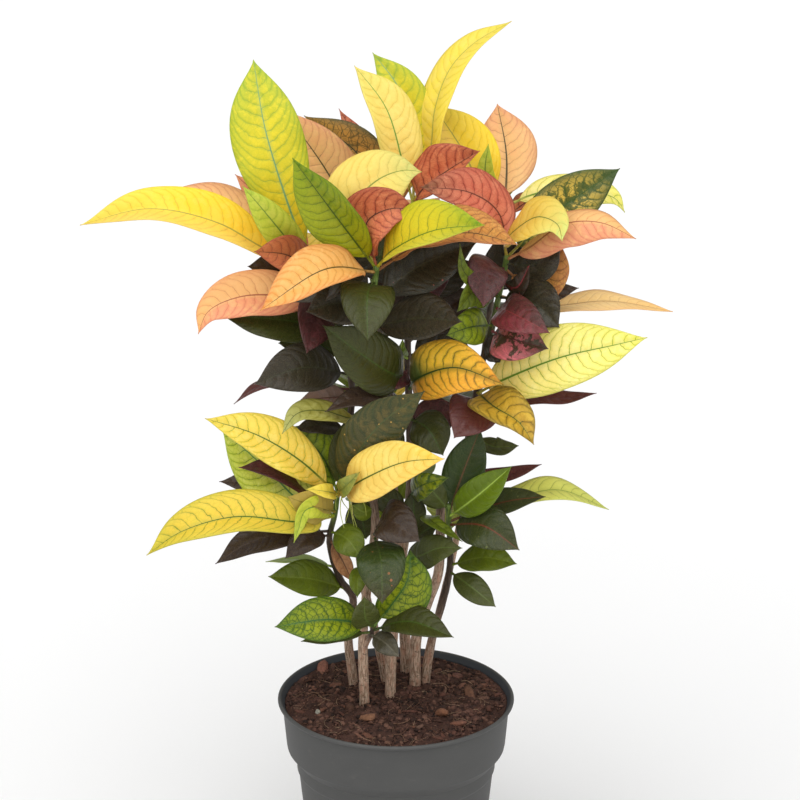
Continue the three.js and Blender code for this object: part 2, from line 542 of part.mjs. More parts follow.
        roll: -8, fold: 10 },
      { at: 480, run: [[85, 466, -52], [106, 452, -72], [119, 432, -86]], width: 45, roll: -30, fold: 28 },
      { at: 476, run: [[66, 462, -42], [50, 438, -60]], width: 44, roll: 0, fold: 8 },
      { at: 468, run: [[118, 475, -10], [150, 475, -14], [172, 479, -16]], width: 22, roll: -50, fold: 8 },
      { at: 366, run: [[30, 362, -30], [58, 342, -46]], width: 17, roll: -15, fold: 12 },
      { at: 402, run: [[90, 403, 20], [126, 414, 24]], width: 18, roll: -40, fold: 8 },
      { at: 508, run: [[86, 519, -22], [105, 507, -32]], width: 24, roll: 0, fold: 10 },
      { at: 566, run: [[92, 590, 12], [84, 616, 18]], width: 46, roll: 0, fold: 8 },
      { at: 354, run: [[30, 355, 14], [17, 345, 20]], width: 26, roll: 0, fold: 8 },
    ],
  },
  far_right: {
    line: [[28, 150, 33], [26, 207, 31], [33, 255, 26], [41, 285, 22], [47, 316, 14], [47, 345, 2],
      [46, 364, -6], [46, 377, -10]],
    radii: [5.6, 2.2],
    leaves: [
      { at: 368, run: [[56, 400, -16], [73, 448, -8]], width: 36, roll: 0, fold: 8 },
      { at: 365, run: [[72, 386, -36], [100, 412, -54]], width: 32, roll: 0, fold: 24 },
      { at: 362, run: [[95, 379, 6], [140, 390, 10], [185, 372, 12]], width: 34, roll: -52, fold: 10 },
      { at: 361, run: [[95, 379, -14], [130, 384, -22]], width: 30, roll: -42, fold: 10 },
      { at: 358, run: [[78, 356, -38], [108, 334, -54]], width: 40, roll: -12, fold: 10 },
      { at: 371, run: [[32, 389, -16], [19, 403, -16]], width: 26, roll: 0, fold: 10 },
      { at: 320, run: [[78, 327, -4], [106, 321, -14]], width: 28, roll: -24, fold: 10 },
      { at: 314, run: [[65, 300, -6], [88, 280, -16]], width: 24, roll: -10, fold: 10 },
      { at: 372, away: [74, 16], length: 115, droop: 45, width: 34, roll: 0, fold: 12 },
      { at: 346, away: [92, 20], length: 110, droop: 50, width: 36, roll: -8, fold: 12 },
    ],
  },
  far_right_high: {
    from: 'far_right',
    line: [[37, 270, 24], [52, 340, 38], [66, 430, 50], [78, 540, 50], [92, 647, 46]],
    radii: [3.2, 2.2],
    leaves: [
      { at: 642, run: [[74, 656, 48], [56, 692, 60], [30, 732, 76]], width: 58, roll: 0, fold: 8 },
      { at: 646, run: [[75, 672, 34], [77, 698, 30]], width: 15, roll: 0, fold: 10 },
      { at: 648, run: [[92, 690, 80], [84, 732, 100]], width: 54, roll: 0, fold: 8 },
      { at: 645, run: [[122, 656, 46], [160, 657, 46], [183, 651, 45], [192, 639, 44]], width: 36,
        roll: -42, fold: 12 },
      { at: 440, run: [[84, 430, 34], [106, 431, 38]], width: 22, roll: -44, fold: 8 },
      { at: 640, away: [98, 44], length: 145, droop: 70, width: 48, roll: 6, fold: 12 },
      { at: 632, away: [46, 26], length: 125, droop: 60, width: 42, roll: -10, fold: 12 },
      { at: 606, away: [82, 16], length: 140, droop: 60, width: 44, roll: 8, fold: 12 },
      { at: 566, away: [60, 28], length: 130, droop: 65, width: 42, roll: -8, fold: 12 },
      { at: 540, away: [92, 10], length: 130, droop: 50, width: 42, roll: 8, fold: 12 },
      { at: 440, away: [104, 30], length: 120, droop: 60, width: 38, roll: 0, fold: 12 },
    ],
  },
  back: {
    line: [[9, 165, 58], [9, 220, 59], [8, 250, 62], [2, 350, 72], [-8, 450, 82], [-14, 540, 86], [-24, 612, 84]],
    radii: [6, 2.4],
    leaves: [
      { at: 608, run: [[-44, 650, 72], [-62, 682, 68], [-94, 728, 74]], width: 56, roll: 0, fold: 10 },
      { at: 612, run: [[-16, 660, 100], [-32, 690, 108], [-76, 722, 118]], width: 44, roll: 0, fold: 10 },
      { at: 612, run: [[-28, 690, 140], [-47, 728, 160]], width: 28, roll: 0, fold: 10 },
      { at: 612, run: [[10, 690, 96], [30, 745, 112]], width: 30, roll: 0, fold: 10 },
      { at: 606, away: [100, 52], length: 150, droop: 70, width: 50, roll: 5, fold: 12 },
      { at: 602, away: [58, 38], length: 150, droop: 75, width: 46, roll: -10, fold: 12 },
      { at: 598, away: [140, 36], length: 145, droop: 70, width: 46, roll: 10, fold: 12 },
      { at: 590, away: [84, 14], length: 145, droop: 60, width: 44, roll: 8, fold: 12 },
      { at: 584, away: [116, 2], length: 140, droop: 45, width: 44, roll: -8, fold: 12 },
      { at: 552, away: [66, 30], length: 140, droop: 70, width: 46, roll: 12, fold: 12 },
      { at: 546, away: [128, 26], length: 135, droop: 65, width: 42, roll: -10, fold: 12 },
      { at: 520, away: [98, 8], length: 140, droop: 55, width: 44, roll: 6, fold: 12 },
      { at: 462, away: [62, 40], length: 135, droop: 70, width: 42, roll: -12, fold: 12 },
      { at: 456, away: [124, 34], length: 130, droop: 65, width: 42, roll: 10, fold: 12 },
      { at: 436, away: [94, 12], length: 130, droop: 50, width: 42, roll: 0, fold: 12 },
      { at: 372, away: [72, 36], length: 120, droop: 60, width: 38, roll: 10, fold: 12 },
      { at: 350, away: [118, 28], length: 115, droop: 55, width: 36, roll: -10, fold: 12 },
    ],
  },
};

/** One body of wood and leaves for each stem that stands in the soil, with its side shoots. */
function makePlant() {
  const lines = {};
  const bodies = {};
  const holes = [];
  for (const [name, shoot] of Object.entries(SHOOTS)) {
    const line = lineThrough(shoot.line);
    const [lowRadius, highRadius] = shoot.radii;
    let body = makeStem(line, lowRadius, highRadius);
    for (const leaf of shoot.leaves) {
      body = body.add(makeLeaf(jointAt(line, leaf.at), leaf));
    }
    lines[name] = line;
    if (shoot.from) {
      bodies[shoot.from] = bodies[shoot.from].add(body);
    } else {
      bodies[name] = body;
      holes.push(makeStem(line, lowRadius, highRadius, GAP));
    }
  }
  return { bodies, holes };
}

const plant = makePlant();
let soil = makeSoil();
for (const hole of plant.holes) {
  soil = soil.subtract(hole);
}

const croton = new THREE.Group();
croton.add(toMesh(makePot(), 'pot', POT_COLOUR, 0.55));
croton.add(toMesh(soil, 'soil', SOIL_COLOUR, 0.95));
for (const [name, body] of Object.entries(plant.bodies)) {
  croton.add(toMesh(body, `stem_${name}`, LEAF_COLOUR, 0.45));
}

export default croton;
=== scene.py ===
"""The looks of a potted croton: nursery pot, peat, woody stems and leaves, in a plain studio.

The shoot table is in millimetres, as the plant was measured; every finished mesh is in metres.
"""

from __future__ import annotations

import json
import logging
import math
import random
from dataclasses import dataclass, field
from enum import Enum

import bmesh
import bpy
import numpy as np
from mathutils import Euler, Matrix, Quaternion, Vector, noise

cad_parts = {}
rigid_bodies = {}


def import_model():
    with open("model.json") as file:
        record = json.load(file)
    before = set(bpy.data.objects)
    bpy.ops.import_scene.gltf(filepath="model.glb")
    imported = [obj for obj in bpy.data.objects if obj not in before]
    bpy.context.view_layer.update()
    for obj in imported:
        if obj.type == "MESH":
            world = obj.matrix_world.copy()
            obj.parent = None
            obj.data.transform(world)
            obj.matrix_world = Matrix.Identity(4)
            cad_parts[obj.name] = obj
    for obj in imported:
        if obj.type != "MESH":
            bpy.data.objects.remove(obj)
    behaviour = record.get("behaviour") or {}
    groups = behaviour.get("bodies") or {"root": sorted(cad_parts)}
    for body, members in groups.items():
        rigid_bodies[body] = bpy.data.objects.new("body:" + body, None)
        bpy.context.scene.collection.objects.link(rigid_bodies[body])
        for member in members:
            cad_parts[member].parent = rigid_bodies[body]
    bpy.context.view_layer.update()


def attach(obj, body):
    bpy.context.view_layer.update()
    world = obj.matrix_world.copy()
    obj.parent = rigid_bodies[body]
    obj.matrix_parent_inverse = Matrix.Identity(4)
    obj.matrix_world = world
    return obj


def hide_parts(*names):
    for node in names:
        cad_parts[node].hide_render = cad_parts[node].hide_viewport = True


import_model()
LOG = logging.getLogger("croton")

# A millimetre in metres, and a centimetre, the unit of the leaf and bark patterns, in millimetres.
MM = 0.001
CM = 10

# The camera: its place in millimetres, its tilt in degrees, its lens and the width of its sensor.
EYE = np.array((3.6, -2267.9, 1258.1))
CAMERA_PITCH = 19.1
CAMERA_LENS = 126.0
SENSOR_WIDTH = 36.0

# The petiole's share of a midrib, how far a leaf starts from its stem's line in millimetres,
# where a blade is widest, how full it is and how far its tip is drawn out.
PETIOLE_SHARE = 0.11
ROOT_OFFSET = 0.8
BELLY = 0.47
FULLNESS = 0.7
TIP_DRAW = 0.5

# The share, the two colours and the result among the sockets of a mix node.
MIX_SHARE, MIX_FIRST, MIX_SECOND, MIX_RESULT = 0, 6, 7, 2

# Points of one mesh that are nearer to each other than this are one point, in millimetres.
WELD = 0.001

FLOAT = "NodeSocketFloat"
VECTOR = "NodeSocketVector"

Colour = tuple[float, float, float, float]
Socket = bpy.types.NodeSocket
Spot = tuple[float, float, float]


def tint(code: str) -> Colour:
    """Turns a screen colour such as "F2C14E" into Blender's linear one.

    Args:
        code: Red, green and blue as six hexadecimal digits.

    Returns:
        Linear red, green, blue and an alpha of one.
    """
    parts = [int(code[i : i + 2], 16) / 255 for i in (0, 2, 4)]
    linear = [p / 12.92 if p <= 0.04045 else ((p + 0.055) / 1.055) ** 2.4 for p in parts]
    return (linear[0], linear[1], linear[2], 1.0)


class Wiring:
    """Writes the nodes of one node tree."""

    def __init__(self, tree: bpy.types.NodeTree) -> None:
        """Keeps the tree that the nodes go into."""
        self.tree = tree

    def node(self, kind: str, **settings: object) -> bpy.types.Node:
        """Adds a node.

        Args:
            kind: Blender's name of the node type.
            settings: The node's own properties by name.

        Returns:
            The new node.
        """
        made = self.tree.nodes.new(kind)
        for name, value in settings.items():
            setattr(made, name, value)
        return made

    def feed(self, socket: Socket, value: object) -> None:
        """Links a socket to another, or sets its own value.

        Args:
            socket: The socket.
            value: The other socket, or the value.
        """
        if isinstance(value, bpy.types.NodeSocket):
            self.tree.links.new(value, socket)
        else:
            socket.default_value = value

    def give(self, node: bpy.types.Node, **values: object) -> bpy.types.Node:
        """Feeds a node's inputs.

        Args:
            node: The node.
            values: A value or socket by input name, with an underscore for each space.

        Returns:
            The same node.
        """
        for name, value in values.items():
            self.feed(node.inputs[name.replace("_", " ")], value)
        return node

    def math(self, operation: str, *values: object) -> Socket:
        """Adds one step of arithmetic.

        Args:
            operation: Blender's name of the step.
            values: Numbers or sockets.

        Returns:
            The result's socket.
        """
        made = self.node("ShaderNodeMath", operation=operation)
        for socket, value in zip(made.inputs, values):
            self.feed(socket, value)
        return made.outputs[0]

    def times(self, first: object, second: object) -> Socket:
        """Multiplies two numbers."""
        return self.math("MULTIPLY", first, second)

    def line(self, value: object, slope: object, start: object) -> Socket:
        """Gives value * slope + start."""
        return self.math("MULTIPLY_ADD", value, slope, start)

    def step(
        self, value: object, low: object, high: object, start: object = 0.0, end: object = 1.0
    ) -> Socket:
        """Adds a soft step.

        Args:
            value: What is tested.
            low: Where the step begins.
            high: Where it ends.
            start: The result below low.
            end: The result above high.

        Returns:
            The result socket.
        """
        made = self.node("ShaderNodeMapRange", interpolation_type="SMOOTHSTEP")
        self.give(made, Value=value, From_Min=low, From_Max=high, To_Min=start, To_Max=end)
        return made.outputs["Result"]

    def blend(self, share: object, first: object, second: object, kind: str = "MIX") -> Socket:
        """Adds a mix of two colours and returns its result.

        Args:
            share: How much of the second colour shows.
            first: The first colour.
            second: The second colour.
            kind: Blender's name of the way of mixing.

        Returns:
            The mixed colour's socket.
        """
        made = self.node("ShaderNodeMix", data_type="RGBA", blend_type=kind)
        self.feed(made.inputs[MIX_SHARE], share)
        self.feed(made.inputs[MIX_FIRST], first)
        self.feed(made.inputs[MIX_SECOND], second)
        return made.outputs[MIX_RESULT]

    def noise(
        self, place: object, scale: float, detail: float = 2.0, roughness: float = 0.5,
        distortion: float = 0.0,
    ) -> Socket:
        """Adds cloud noise.

        Args:
            place: The coordinates.
            scale: Clouds per unit of the coordinates.
            detail: How many finer layers it has.
            roughness: How strong the finer layers are.
            distortion: How far the clouds are pulled about.

        Returns:
            The noise, about 0.5 on average.
        """
        made = self.node("ShaderNodeTexNoise")
        self.give(made, Vector=place, Scale=scale, Detail=detail)
        self.give(made, Roughness=roughness, Distortion=distortion)
        return made.outputs["Fac"]

    def cells(self, place: object, scale: float, feature: str = "F1") -> bpy.types.Node:
        """Adds a cell pattern.

        Args:
            place: The coordinates.
            scale: Cells per unit of the coordinates.
            feature: What is measured in each cell.

        Returns:
            The node, for its distance and colour.
        """
        made = self.node("ShaderNodeTexVoronoi", feature=feature)
        return self.give(made, Vector=place, Scale=scale)

    def split(self, vector: Socket) -> tuple[Socket, Socket, Socket]:
        """Parts a vector into its three numbers.

        Args:
            vector: The vector.

        Returns:
            The three numbers.
        """
        made = self.node("ShaderNodeSeparateXYZ")
        self.feed(made.inputs[0], vector)
        return made.outputs[0], made.outputs[1], made.outputs[2]

    def join(self, first: object, second: object, third: object) -> Socket:
        """Makes a vector of three numbers.

        Args:
            first: Along X.
            second: Along Y.
            third: Along Z.

        Returns:
            The vector.
        """
        made = self.node("ShaderNodeCombineXYZ")
        for socket, value in zip(made.inputs, (first, second, third)):
            self.feed(socket, value)
        return made.outputs[0]

    def attribute(self, name: str) -> bpy.types.Node:
        """Adds a reader of one of the mesh's own attributes."""
        return self.node("ShaderNodeAttribute", attribute_type="GEOMETRY", attribute_name=name)

    def place(self, scale: Spot = (1.0, 1.0, 1.0)) -> Socket:
        """Gives the object's own coordinates, stretched by a scale along each axis."""
        source = self.node("ShaderNodeTexCoord").outputs["Object"]
        return self.give(self.node("ShaderNodeMapping"), Vector=source, Scale=scale).outputs[0]

    def group(self, tree: bpy.types.NodeTree, **values: object) -> bpy.types.Node:
        """Places a node group and feeds its named inputs."""
        return self.give(self.node("ShaderNodeGroup", node_tree=tree), **values)

    def bump(self, height: Socket, strength: float, distance: float) -> Socket:
        """Turns a height into a surface normal.

        Args:
            height: The height, from 0 to 1.
            strength: How much of the bump shows.
            distance: The height of the bump in metres.

        Returns:
            The normal's socket.
        """
        made = self.node("ShaderNodeBump")
        self.give(made, Strength=strength, Distance=distance, Height=height)
        return made.outputs["Normal"]


@dataclass
class Effect:
    """A node group in the making: its tree, its writer and its two ends."""

    tree: bpy.types.NodeTree
    wiring: Wiring
    given: bpy.types.Node
    result: bpy.types.Node

    @classmethod
    def named(cls, name: str, inputs: dict[str, str], outputs: tuple[str, ...]) -> Effect:
        """Starts a group with named sockets.

        Args:
            name: The group's name.
            inputs: Socket type by input name.
            outputs: The names of its outputs, which are all plain numbers.

        Returns:
            The group, ready for its nodes.
        """
        tree = bpy.data.node_groups.new(name, "ShaderNodeTree")
        for socket, kind in inputs.items():
            tree.interface.new_socket(name=socket, in_out="INPUT", socket_type=kind)
        for socket in outputs:
            tree.interface.new_socket(name=socket, in_out="OUTPUT", socket_type=FLOAT)
        wiring = Wiring(tree)
        return cls(tree, wiring, wiring.node("NodeGroupInput"), wiring.node("NodeGroupOutput"))

    def put(self, **values: Socket) -> bpy.types.NodeTree:
        """Sends the named values out of the group and returns its tree."""
        self.wiring.give(self.result, **values)
        return self.tree


def vein_effect() -> bpy.types.NodeTree:
    """Makes the veins of a leaf: midrib, bowed side veins, fine net, and the swell between them.

    Place holds centimetres along and across and a seed; Share holds the same two as shares of
    the blade; Pitch and Width are the side veins' spacing and half width in centimetres.

    Returns:
        The group with masks Rib, Side, Net and Halo and the height Relief.
    """
    effect = Effect.named(
        "leaf_veins",
        {"Place": VECTOR, "Share": VECTOR, "Pitch": FLOAT, "Width": FLOAT},
        ("Rib", "Side", "Net", "Halo", "Relief"),
    )
    w = effect.wiring
    spot, pitch, width = (effect.given.outputs[n] for n in ("Place", "Pitch", "Width"))
    along, across, seed = w.split(spot)
    share, out, _ = w.split(effect.given.outputs["Share"])

    # The side veins leave the midrib at even steps, bow towards the tip and waver a little.
    off = w.math("ABSOLUTE", across)
    bow = w.times(off, w.line(w.math("POWER", out, 3.0), 0.75, 0.42))
    wander = w.line(w.noise(spot, 1.1, 3.0), 0.75, w.math("SUBTRACT", along, bow))
    hand = w.times(w.math("GREATER_THAN", across, 0.0), 0.42)
    turn = w.math("ADD", w.math("DIVIDE", wander, pitch), w.math("ADD", hand, seed))
    gap = w.math("PINGPONG", turn, 0.5)
    aside = w.times(gap, pitch)
    wide = w.times(width, w.line(out, -0.6, 1.25))
    side = w.step(aside, w.times(wide, 0.25), wide, 1.0, 0.0)
    side = w.times(side, w.step(out, 0.78, 0.98, 1.0, 0.15))

    # Near the margin, low arches join the ends of the side veins.
    arch = w.noise(w.join(along, across, seed), 1.6, 2.0)
    rim = w.line(arch, 0.12, w.line(gap, 0.22, 0.76))
    rim = w.math("ABSOLUTE", w.math("SUBTRACT", out, rim))
    side = w.math("MAXIMUM", side, w.times(w.step(rim, 0.004, 0.024, 1.0, 0.0), 0.4))

    # The net of small veins, the tapering midrib, and the tinted ground along the larger veins.
    bent = w.line(off, 0.5, along)
    mesh = w.cells(w.join(bent, across, seed), 1.9, "DISTANCE_TO_EDGE").outputs["Distance"]
    net = w.step(mesh, 0.012, 0.075, 1.0, 0.0)
    broad = w.times(w.math("SUBTRACT", 1.18, share), 0.115)
    rib = w.step(off, w.times(broad, 0.6), broad, 1.0, 0.0)
    near = w.times(w.step(aside, 0.02, 0.24, 1.0, 0.0), w.step(out, 0.5, 1.0, 1.0, 0.35))
    halo = w.math("MAXIMUM", near, w.step(off, 0.1, 0.55, 1.0, 0.0))

    # The blade swells between the side veins and sinks along them and along the net.
    swell = w.step(gap, 0.0, 0.36)
    relief = w.line(net, -0.15, w.times(swell, 0.7))
    relief = w.line(side, -0.3, relief)
    return effect.put(Rib=rib, Side=side, Net=net, Halo=halo, Relief=relief)


def mottle_effect() -> bpy.types.NodeTree:
    """Makes a leaf's blotches, specks, slow fading and fine grain.

    Returns:
        The group with masks Blotch and Speck and the variations Fade and Grain.
    """
    effect = Effect.named(
        "leaf_mottle",
        {"Place": VECTOR, "Share": VECTOR},
        ("Blotch", "Speck", "Fade", "Grain"),
    )
    w = effect.wiring
    spot = effect.given.outputs["Place"]
    _, out, _ = w.split(effect.given.outputs["Share"])
    cloud = w.noise(spot, 1.15, 4.0, 0.62, 0.7)
    near = w.line(out, -0.12, w.math("ADD", cloud, 0.05))
    cell = w.cells(spot, 1.8)
    chance, _, _ = w.split(cell.outputs["Color"])
    size = w.times(w.math("SUBTRACT", chance, 0.55), 0.55)
    return effect.put(
        Blotch=w.step(near, 0.50, 0.555),
        Speck=w.step(w.math("SUBTRACT", size, cell.outputs["Distance"]), 0.0, 0.05),
        Fade=w.noise(spot, 0.36, 2.0),
        Grain=w.noise(spot, 16.0, 3.0, 0.6),
    )


def grain_effect() -> bpy.types.NodeTree:
    """Makes stretched streaks, pores and patches, for bark, peat and moulded plastic.

    Returns:
        The group with Streak, Pore and Patch, each about 0.5 on average.
    """
    effect = Effect.named(
        "surface_grain", {"Place": VECTOR, "Fine": VECTOR}, ("Streak", "Pore", "Patch")
    )
    w = effect.wiring
    coarse, fine = effect.given.outputs["Place"], effect.given.outputs["Fine"]
    return effect.put(
        Streak=w.noise(fine, 1.0, 5.0, 0.65),
        Pore=w.cells(fine, 2.4).outputs["Distance"],
        Patch=w.noise(coarse, 1.0, 3.0, 0.55),
    )


@dataclass
class Palette:
    """The node groups that the finishes share, each built once."""

    veins: bpy.types.NodeTree = field(default_factory=vein_effect)
    mottle: bpy.types.NodeTree = field(default_factory=mottle_effect)
    grain: bpy.types.NodeTree = field(default_factory=grain_effect)


def new_material(name: str) -> tuple[bpy.types.Material, Wiring, bpy.types.Node]:
    """Starts a material.

    Args:
        name: The material's name.

    Returns:
        The material, the writer of its nodes and its shader.
    """
    material = bpy.data.materials.new(name)
    material.use_nodes = True
    shader = material.node_tree.nodes["Principled BSDF"]
    return material, Wiring(material.node_tree), shader


@dataclass(frozen=True)
class PlasticFinish:
    """Warm dark grey moulded plastic with a faint grain, dust, rubbed edges with painted highlight,
    and painted shade inside.
    """

    body: str = "3D3D3C"
    # worn colours random patches, rubbed edges and the painted highlight on the lip's top and the
    # collar's edge.
    worn: str = "4E4E4C"
    # inner is painted shade: a darker, bluish grey for the inside of the pot.
    inner: str = "2E3238"
    dust: str = "7A756C"
    roughness: float = 0.56

    def material(self, palette: Palette) -> bpy.types.Material:
        """Builds the plastic.

        Args:
            palette: The shared node groups.

        Returns:
            The material.
        """
        made, w, shader = new_material("pot_plastic")
        coarse, fine = w.place((14.0, 14.0, 30.0)), w.place((900.0, 900.0, 900.0))
        grain = w.group(palette.grain, Place=coarse, Fine=fine)
        _, _, height = w.split(w.place())
        inside = w.attribute("inside").outputs["Fac"]
        worn = w.attribute("worn").outputs["Fac"]
        scuff = w.noise(w.place((70.0, 70.0, 110.0)), 1.0, 4.0, 0.7)
        patch = w.step(grain.outputs["Patch"], 0.3, 0.7, 0.0, 0.22)
        colour = w.blend(patch, tint(self.body), tint(self.worn))
        # Lighter lip top and collar edge: partly wear, partly painted highlight; the foot is wear.
        wear_and_highlight_mask = w.times(worn, w.step(scuff, 0.42, 0.62, 0.1, 0.5))
        colour = w.blend(wear_and_highlight_mask, colour, tint(self.worn))
        dust = w.times(w.step(scuff, 0.6, 0.74), w.step(height, 0.0, 0.03, 0.4, 0.1))
        colour = w.blend(dust, colour, tint(self.dust))
        # Painted shade: the inside of the pot is tinted darker and bluish.
        colour = w.blend(inside, colour, tint(self.inner))
        rough = w.line(grain.outputs["Patch"], 0.12, self.roughness - 0.06)
        rough = w.line(scuff, 0.1, rough)
        rise = w.line(grain.outputs["Streak"], 0.7, w.times(scuff, 0.3))
        w.give(shader, Base_Color=colour, Roughness=rough, Normal=w.bump(rise, 0.2, 0.00015))
        return made


@dataclass(frozen=True)
class PeatFinish:
    """Damp dark peat; each lump brings its own tone."""

    wet: str = "1C120E"
    dry: str = "7A564A"
    roughness: float = 0.88
    shine: float = 0.3

    def material(self, palette: Palette) -> bpy.types.Material:
        """Builds the peat.

        Args:
            palette: The shared node groups.

        Returns:
            The material.
        """
        made, w, shader = new_material("peat")
        coarse, fine = w.place((55.0, 55.0, 55.0)), w.place((420.0, 420.0, 420.0))
        grain = w.group(palette.grain, Place=coarse, Fine=fine)
        tone = w.attribute("tone").outputs["Color"]
        streak = w.step(grain.outputs["Streak"], 0.3, 0.7)
        dark = w.blend(w.times(streak, 0.42), tone, tint(self.wet))
        warm = w.step(grain.outputs["Patch"], 0.5, 0.72, 0.0, 0.4)
        colour = w.blend(warm, dark, tint(self.dry))
        rough = w.line(grain.outputs["Patch"], 0.16, self.roughness - 0.1)
        rise = w.line(grain.outputs["Pore"], 0.5, grain.outputs["Streak"])
        w.give(shader, Base_Color=colour, Roughness=rough, Normal=w.bump(rise, 0.8, 0.0012))
        w.give(shader, Specular_IOR_Level=self.shine)
        return made


@dataclass(frozen=True)
class BarkFinish:
    """Tan bark with upright cracks, going over dark brown to green towards the shoot's top.

    low, high and green are the colours of its cracks and ridges from the foot to the top.
    """

    low: tuple[str, str] = ("826048", "E2C6AC")
    high: tuple[str, str] = ("33281F", "5E4C3E")
    green: tuple[str, str] = ("3F5A1E", "7C9440")
    rusty: str = "C8967C"
    ashen: str = "8A7C6A"
    scab: str = "4E3A2C"
    flake: str = "E6D6C2"
    roughness: float = 0.72

    def material(self, palette: Palette) -> bpy.types.Material:
        """Builds the bark.

        Args:
            palette: The shared node groups.

        Returns:
            The material.
        """
        made, w, shader = new_material("bark")
        where = w.attribute("place").outputs["Vector"]
        along, around, seed = w.split(where)
        up, _, _ = w.split(w.attribute("share").outputs["Vector"])
        fine = w.join(w.times(along, 1.3), w.times(around, 7.0), seed)
        coarse = w.join(w.times(along, 0.75), w.times(around, 2.2), seed)
        grain = w.group(palette.grain, Place=coarse, Fine=fine)
        streak = w.step(grain.outputs["Streak"], 0.34, 0.64)
        low, high, green = (
            w.blend(streak, tint(crack), tint(ridge))
            for crack, ridge in (self.low, self.high, self.green)
        )
        patch = grain.outputs["Patch"]
        flake = w.noise(w.join(w.times(along, 1.9), around, seed), 2.3, 4.0, 0.7)
        low = w.blend(w.step(patch, 0.46, 0.66, 0.0, 0.7), low, tint(self.rusty))
        low = w.blend(w.step(patch, 0.28, 0.42, 0.6, 0.0), low, tint(self.ashen))
        low = w.blend(w.step(flake, 0.56, 0.66, 0.0, 0.75), low, tint(self.scab))
        low = w.blend(w.step(flake, 0.26, 0.4, 0.6, 0.0), low, tint(self.flake))
        colour = w.blend(w.step(up, 0.30, 0.62), low, high)
        colour = w.blend(w.step(up, 0.80, 0.97), colour, green)
        rough = w.step(up, 0.5, 1.0, self.roughness, 0.5)
        rise = w.line(grain.outputs["Pore"], 0.4, grain.outputs["Streak"])
        w.give(shader, Base_Color=colour, Roughness=rough, Normal=w.bump(rise, 0.75, 0.0009))
        return made


@dataclass(frozen=True)
class FoliageFinish:
    """Waxy leaf skin of one colour family; each leaf brings its own colours and markings.

    pitch and vein are the side veins' spacing and half width in centimetres, and relief is the
    height of the swell between them in metres. All colours are multiplied by cast.
    """

    name: str
    roughness: float
    shine: float
    coat: float
    pitch: float
    vein: float
    relief: float
    cast: Colour
    glow: Colour = (1.0, 0.9, 0.5, 1.0)

    def material(self, palette: Palette) -> bpy.types.Material:
        """Builds the leaf skin.

        Args:
            palette: The shared node groups.

        Returns:
            The material.
        """
        made, w, shader = new_material(self.name)
        where = w.attribute("place").outputs["Vector"]
        share = w.attribute("share").outputs["Vector"]
        ground = w.attribute("ground").outputs["Color"]
        drawing = w.attribute("lines")
        lines, spots = drawing.outputs["Color"], w.attribute("spots").outputs["Color"]
        marks = w.attribute("marks")
        vein_share, net_share, blotch_share = w.split(marks.outputs["Color"])
        veins = w.group(palette.veins, Place=where, Share=share, Pitch=self.pitch, Width=self.vein)
        mottle = w.group(palette.mottle, Place=where, Share=share)
        _, out, upper = w.split(share)
        blotch = w.times(mottle.outputs["Blotch"], blotch_share)
        speck = w.times(mottle.outputs["Speck"], marks.outputs["Alpha"])
        colour = w.blend(w.math("MAXIMUM", blotch, speck), ground, spots)
        between = w.times(veins.outputs["Relief"], w.math("MINIMUM", blotch_share, 0.5))
        colour = w.blend(between, colour, spots)
        halo = w.times(veins.outputs["Halo"], drawing.outputs["Alpha"])
        colour = w.blend(halo, colour, lines)
        side = w.times(veins.outputs["Side"], vein_share)
        net = w.times(veins.outputs["Net"], net_share)
        drawn = w.math("MAXIMUM", side, net)
        rim = w.times(w.step(out, 0.95, 1.0), 0.45)
        drawn = w.math("MAXIMUM", drawn, w.times(rim, vein_share))
        colour = w.blend(drawn, colour, lines)
        colour = w.blend(w.times(veins.outputs["Rib"], upper), colour, lines)
        fade = w.step(mottle.outputs["Fade"], 0.3, 0.7, 0.0, 0.16)
        colour = w.blend(fade, colour, ground, "MULTIPLY")
        glow = w.step(mottle.outputs["Grain"], 0.35, 0.75, 0.0, 0.05)
        colour = w.blend(glow, colour, self.glow)
        colour = w.blend(1.0, colour, self.cast, "MULTIPLY")
        rough = w.line(mottle.outputs["Grain"], 0.16, self.roughness - 0.08)
        rough = w.line(veins.outputs["Net"], 0.05, rough)
        hand = w.line(upper, 2.0, -1.0)
        rise = w.times(veins.outputs["Relief"], hand)
        rise = w.line(mottle.outputs["Grain"], 0.12, rise)
        w.give(shader, Base_Color=colour, Roughness=rough, Normal=w.bump(rise, 0.5, self.relief))
        w.give(shader, Specular_IOR_Level=self.shine, Coat_Weight=self.coat, Coat_Roughness=0.3)
        return made


@dataclass(frozen=True)
class FloorFinish:
    """Plain pale studio floor."""

    colour: Colour = (0.93, 0.93, 0.93, 1.0)
    cloud: Colour = (0.91, 0.91, 0.91, 1.0)
    roughness: float = 0.9

    def material(self) -> bpy.types.Material:
        """Builds the floor.

        Returns:
            The material.
        """
        made, w, shader = new_material("studio_floor")
        cloud = w.noise(w.place((0.4, 0.4, 0.4)), 1.0)
        colour = w.blend(cloud, self.colour, self.cloud)
        w.give(shader, Base_Color=colour, Roughness=self.roughness)
        return made


class Family(Enum):
    """The colour families of the foliage, each with its own skin."""

    YELLOW = FoliageFinish(
        "foliage_yellow", 0.5, 0.3, 0.0, 0.95, 0.04, 0.0005, (1.04, 1.02, 0.66, 1.0)
    )
    ORANGE = FoliageFinish(
        "foliage_orange", 0.5, 0.3, 0.0, 0.85, 0.038, 0.0005, (1.04, 1.0, 0.9, 1.0)
    )
    DARK = FoliageFinish(
        "foliage_dark", 0.31, 0.3, 0.02, 0.95, 0.042, 0.0007, (1.1, 0.96, 0.85, 1.0)
    )
    GREEN = FoliageFinish(
        "foliage_green", 0.36, 0.25, 0.02, 0.9, 0.042, 0.0007, (1.05, 1.0, 0.6, 1.0)
    )


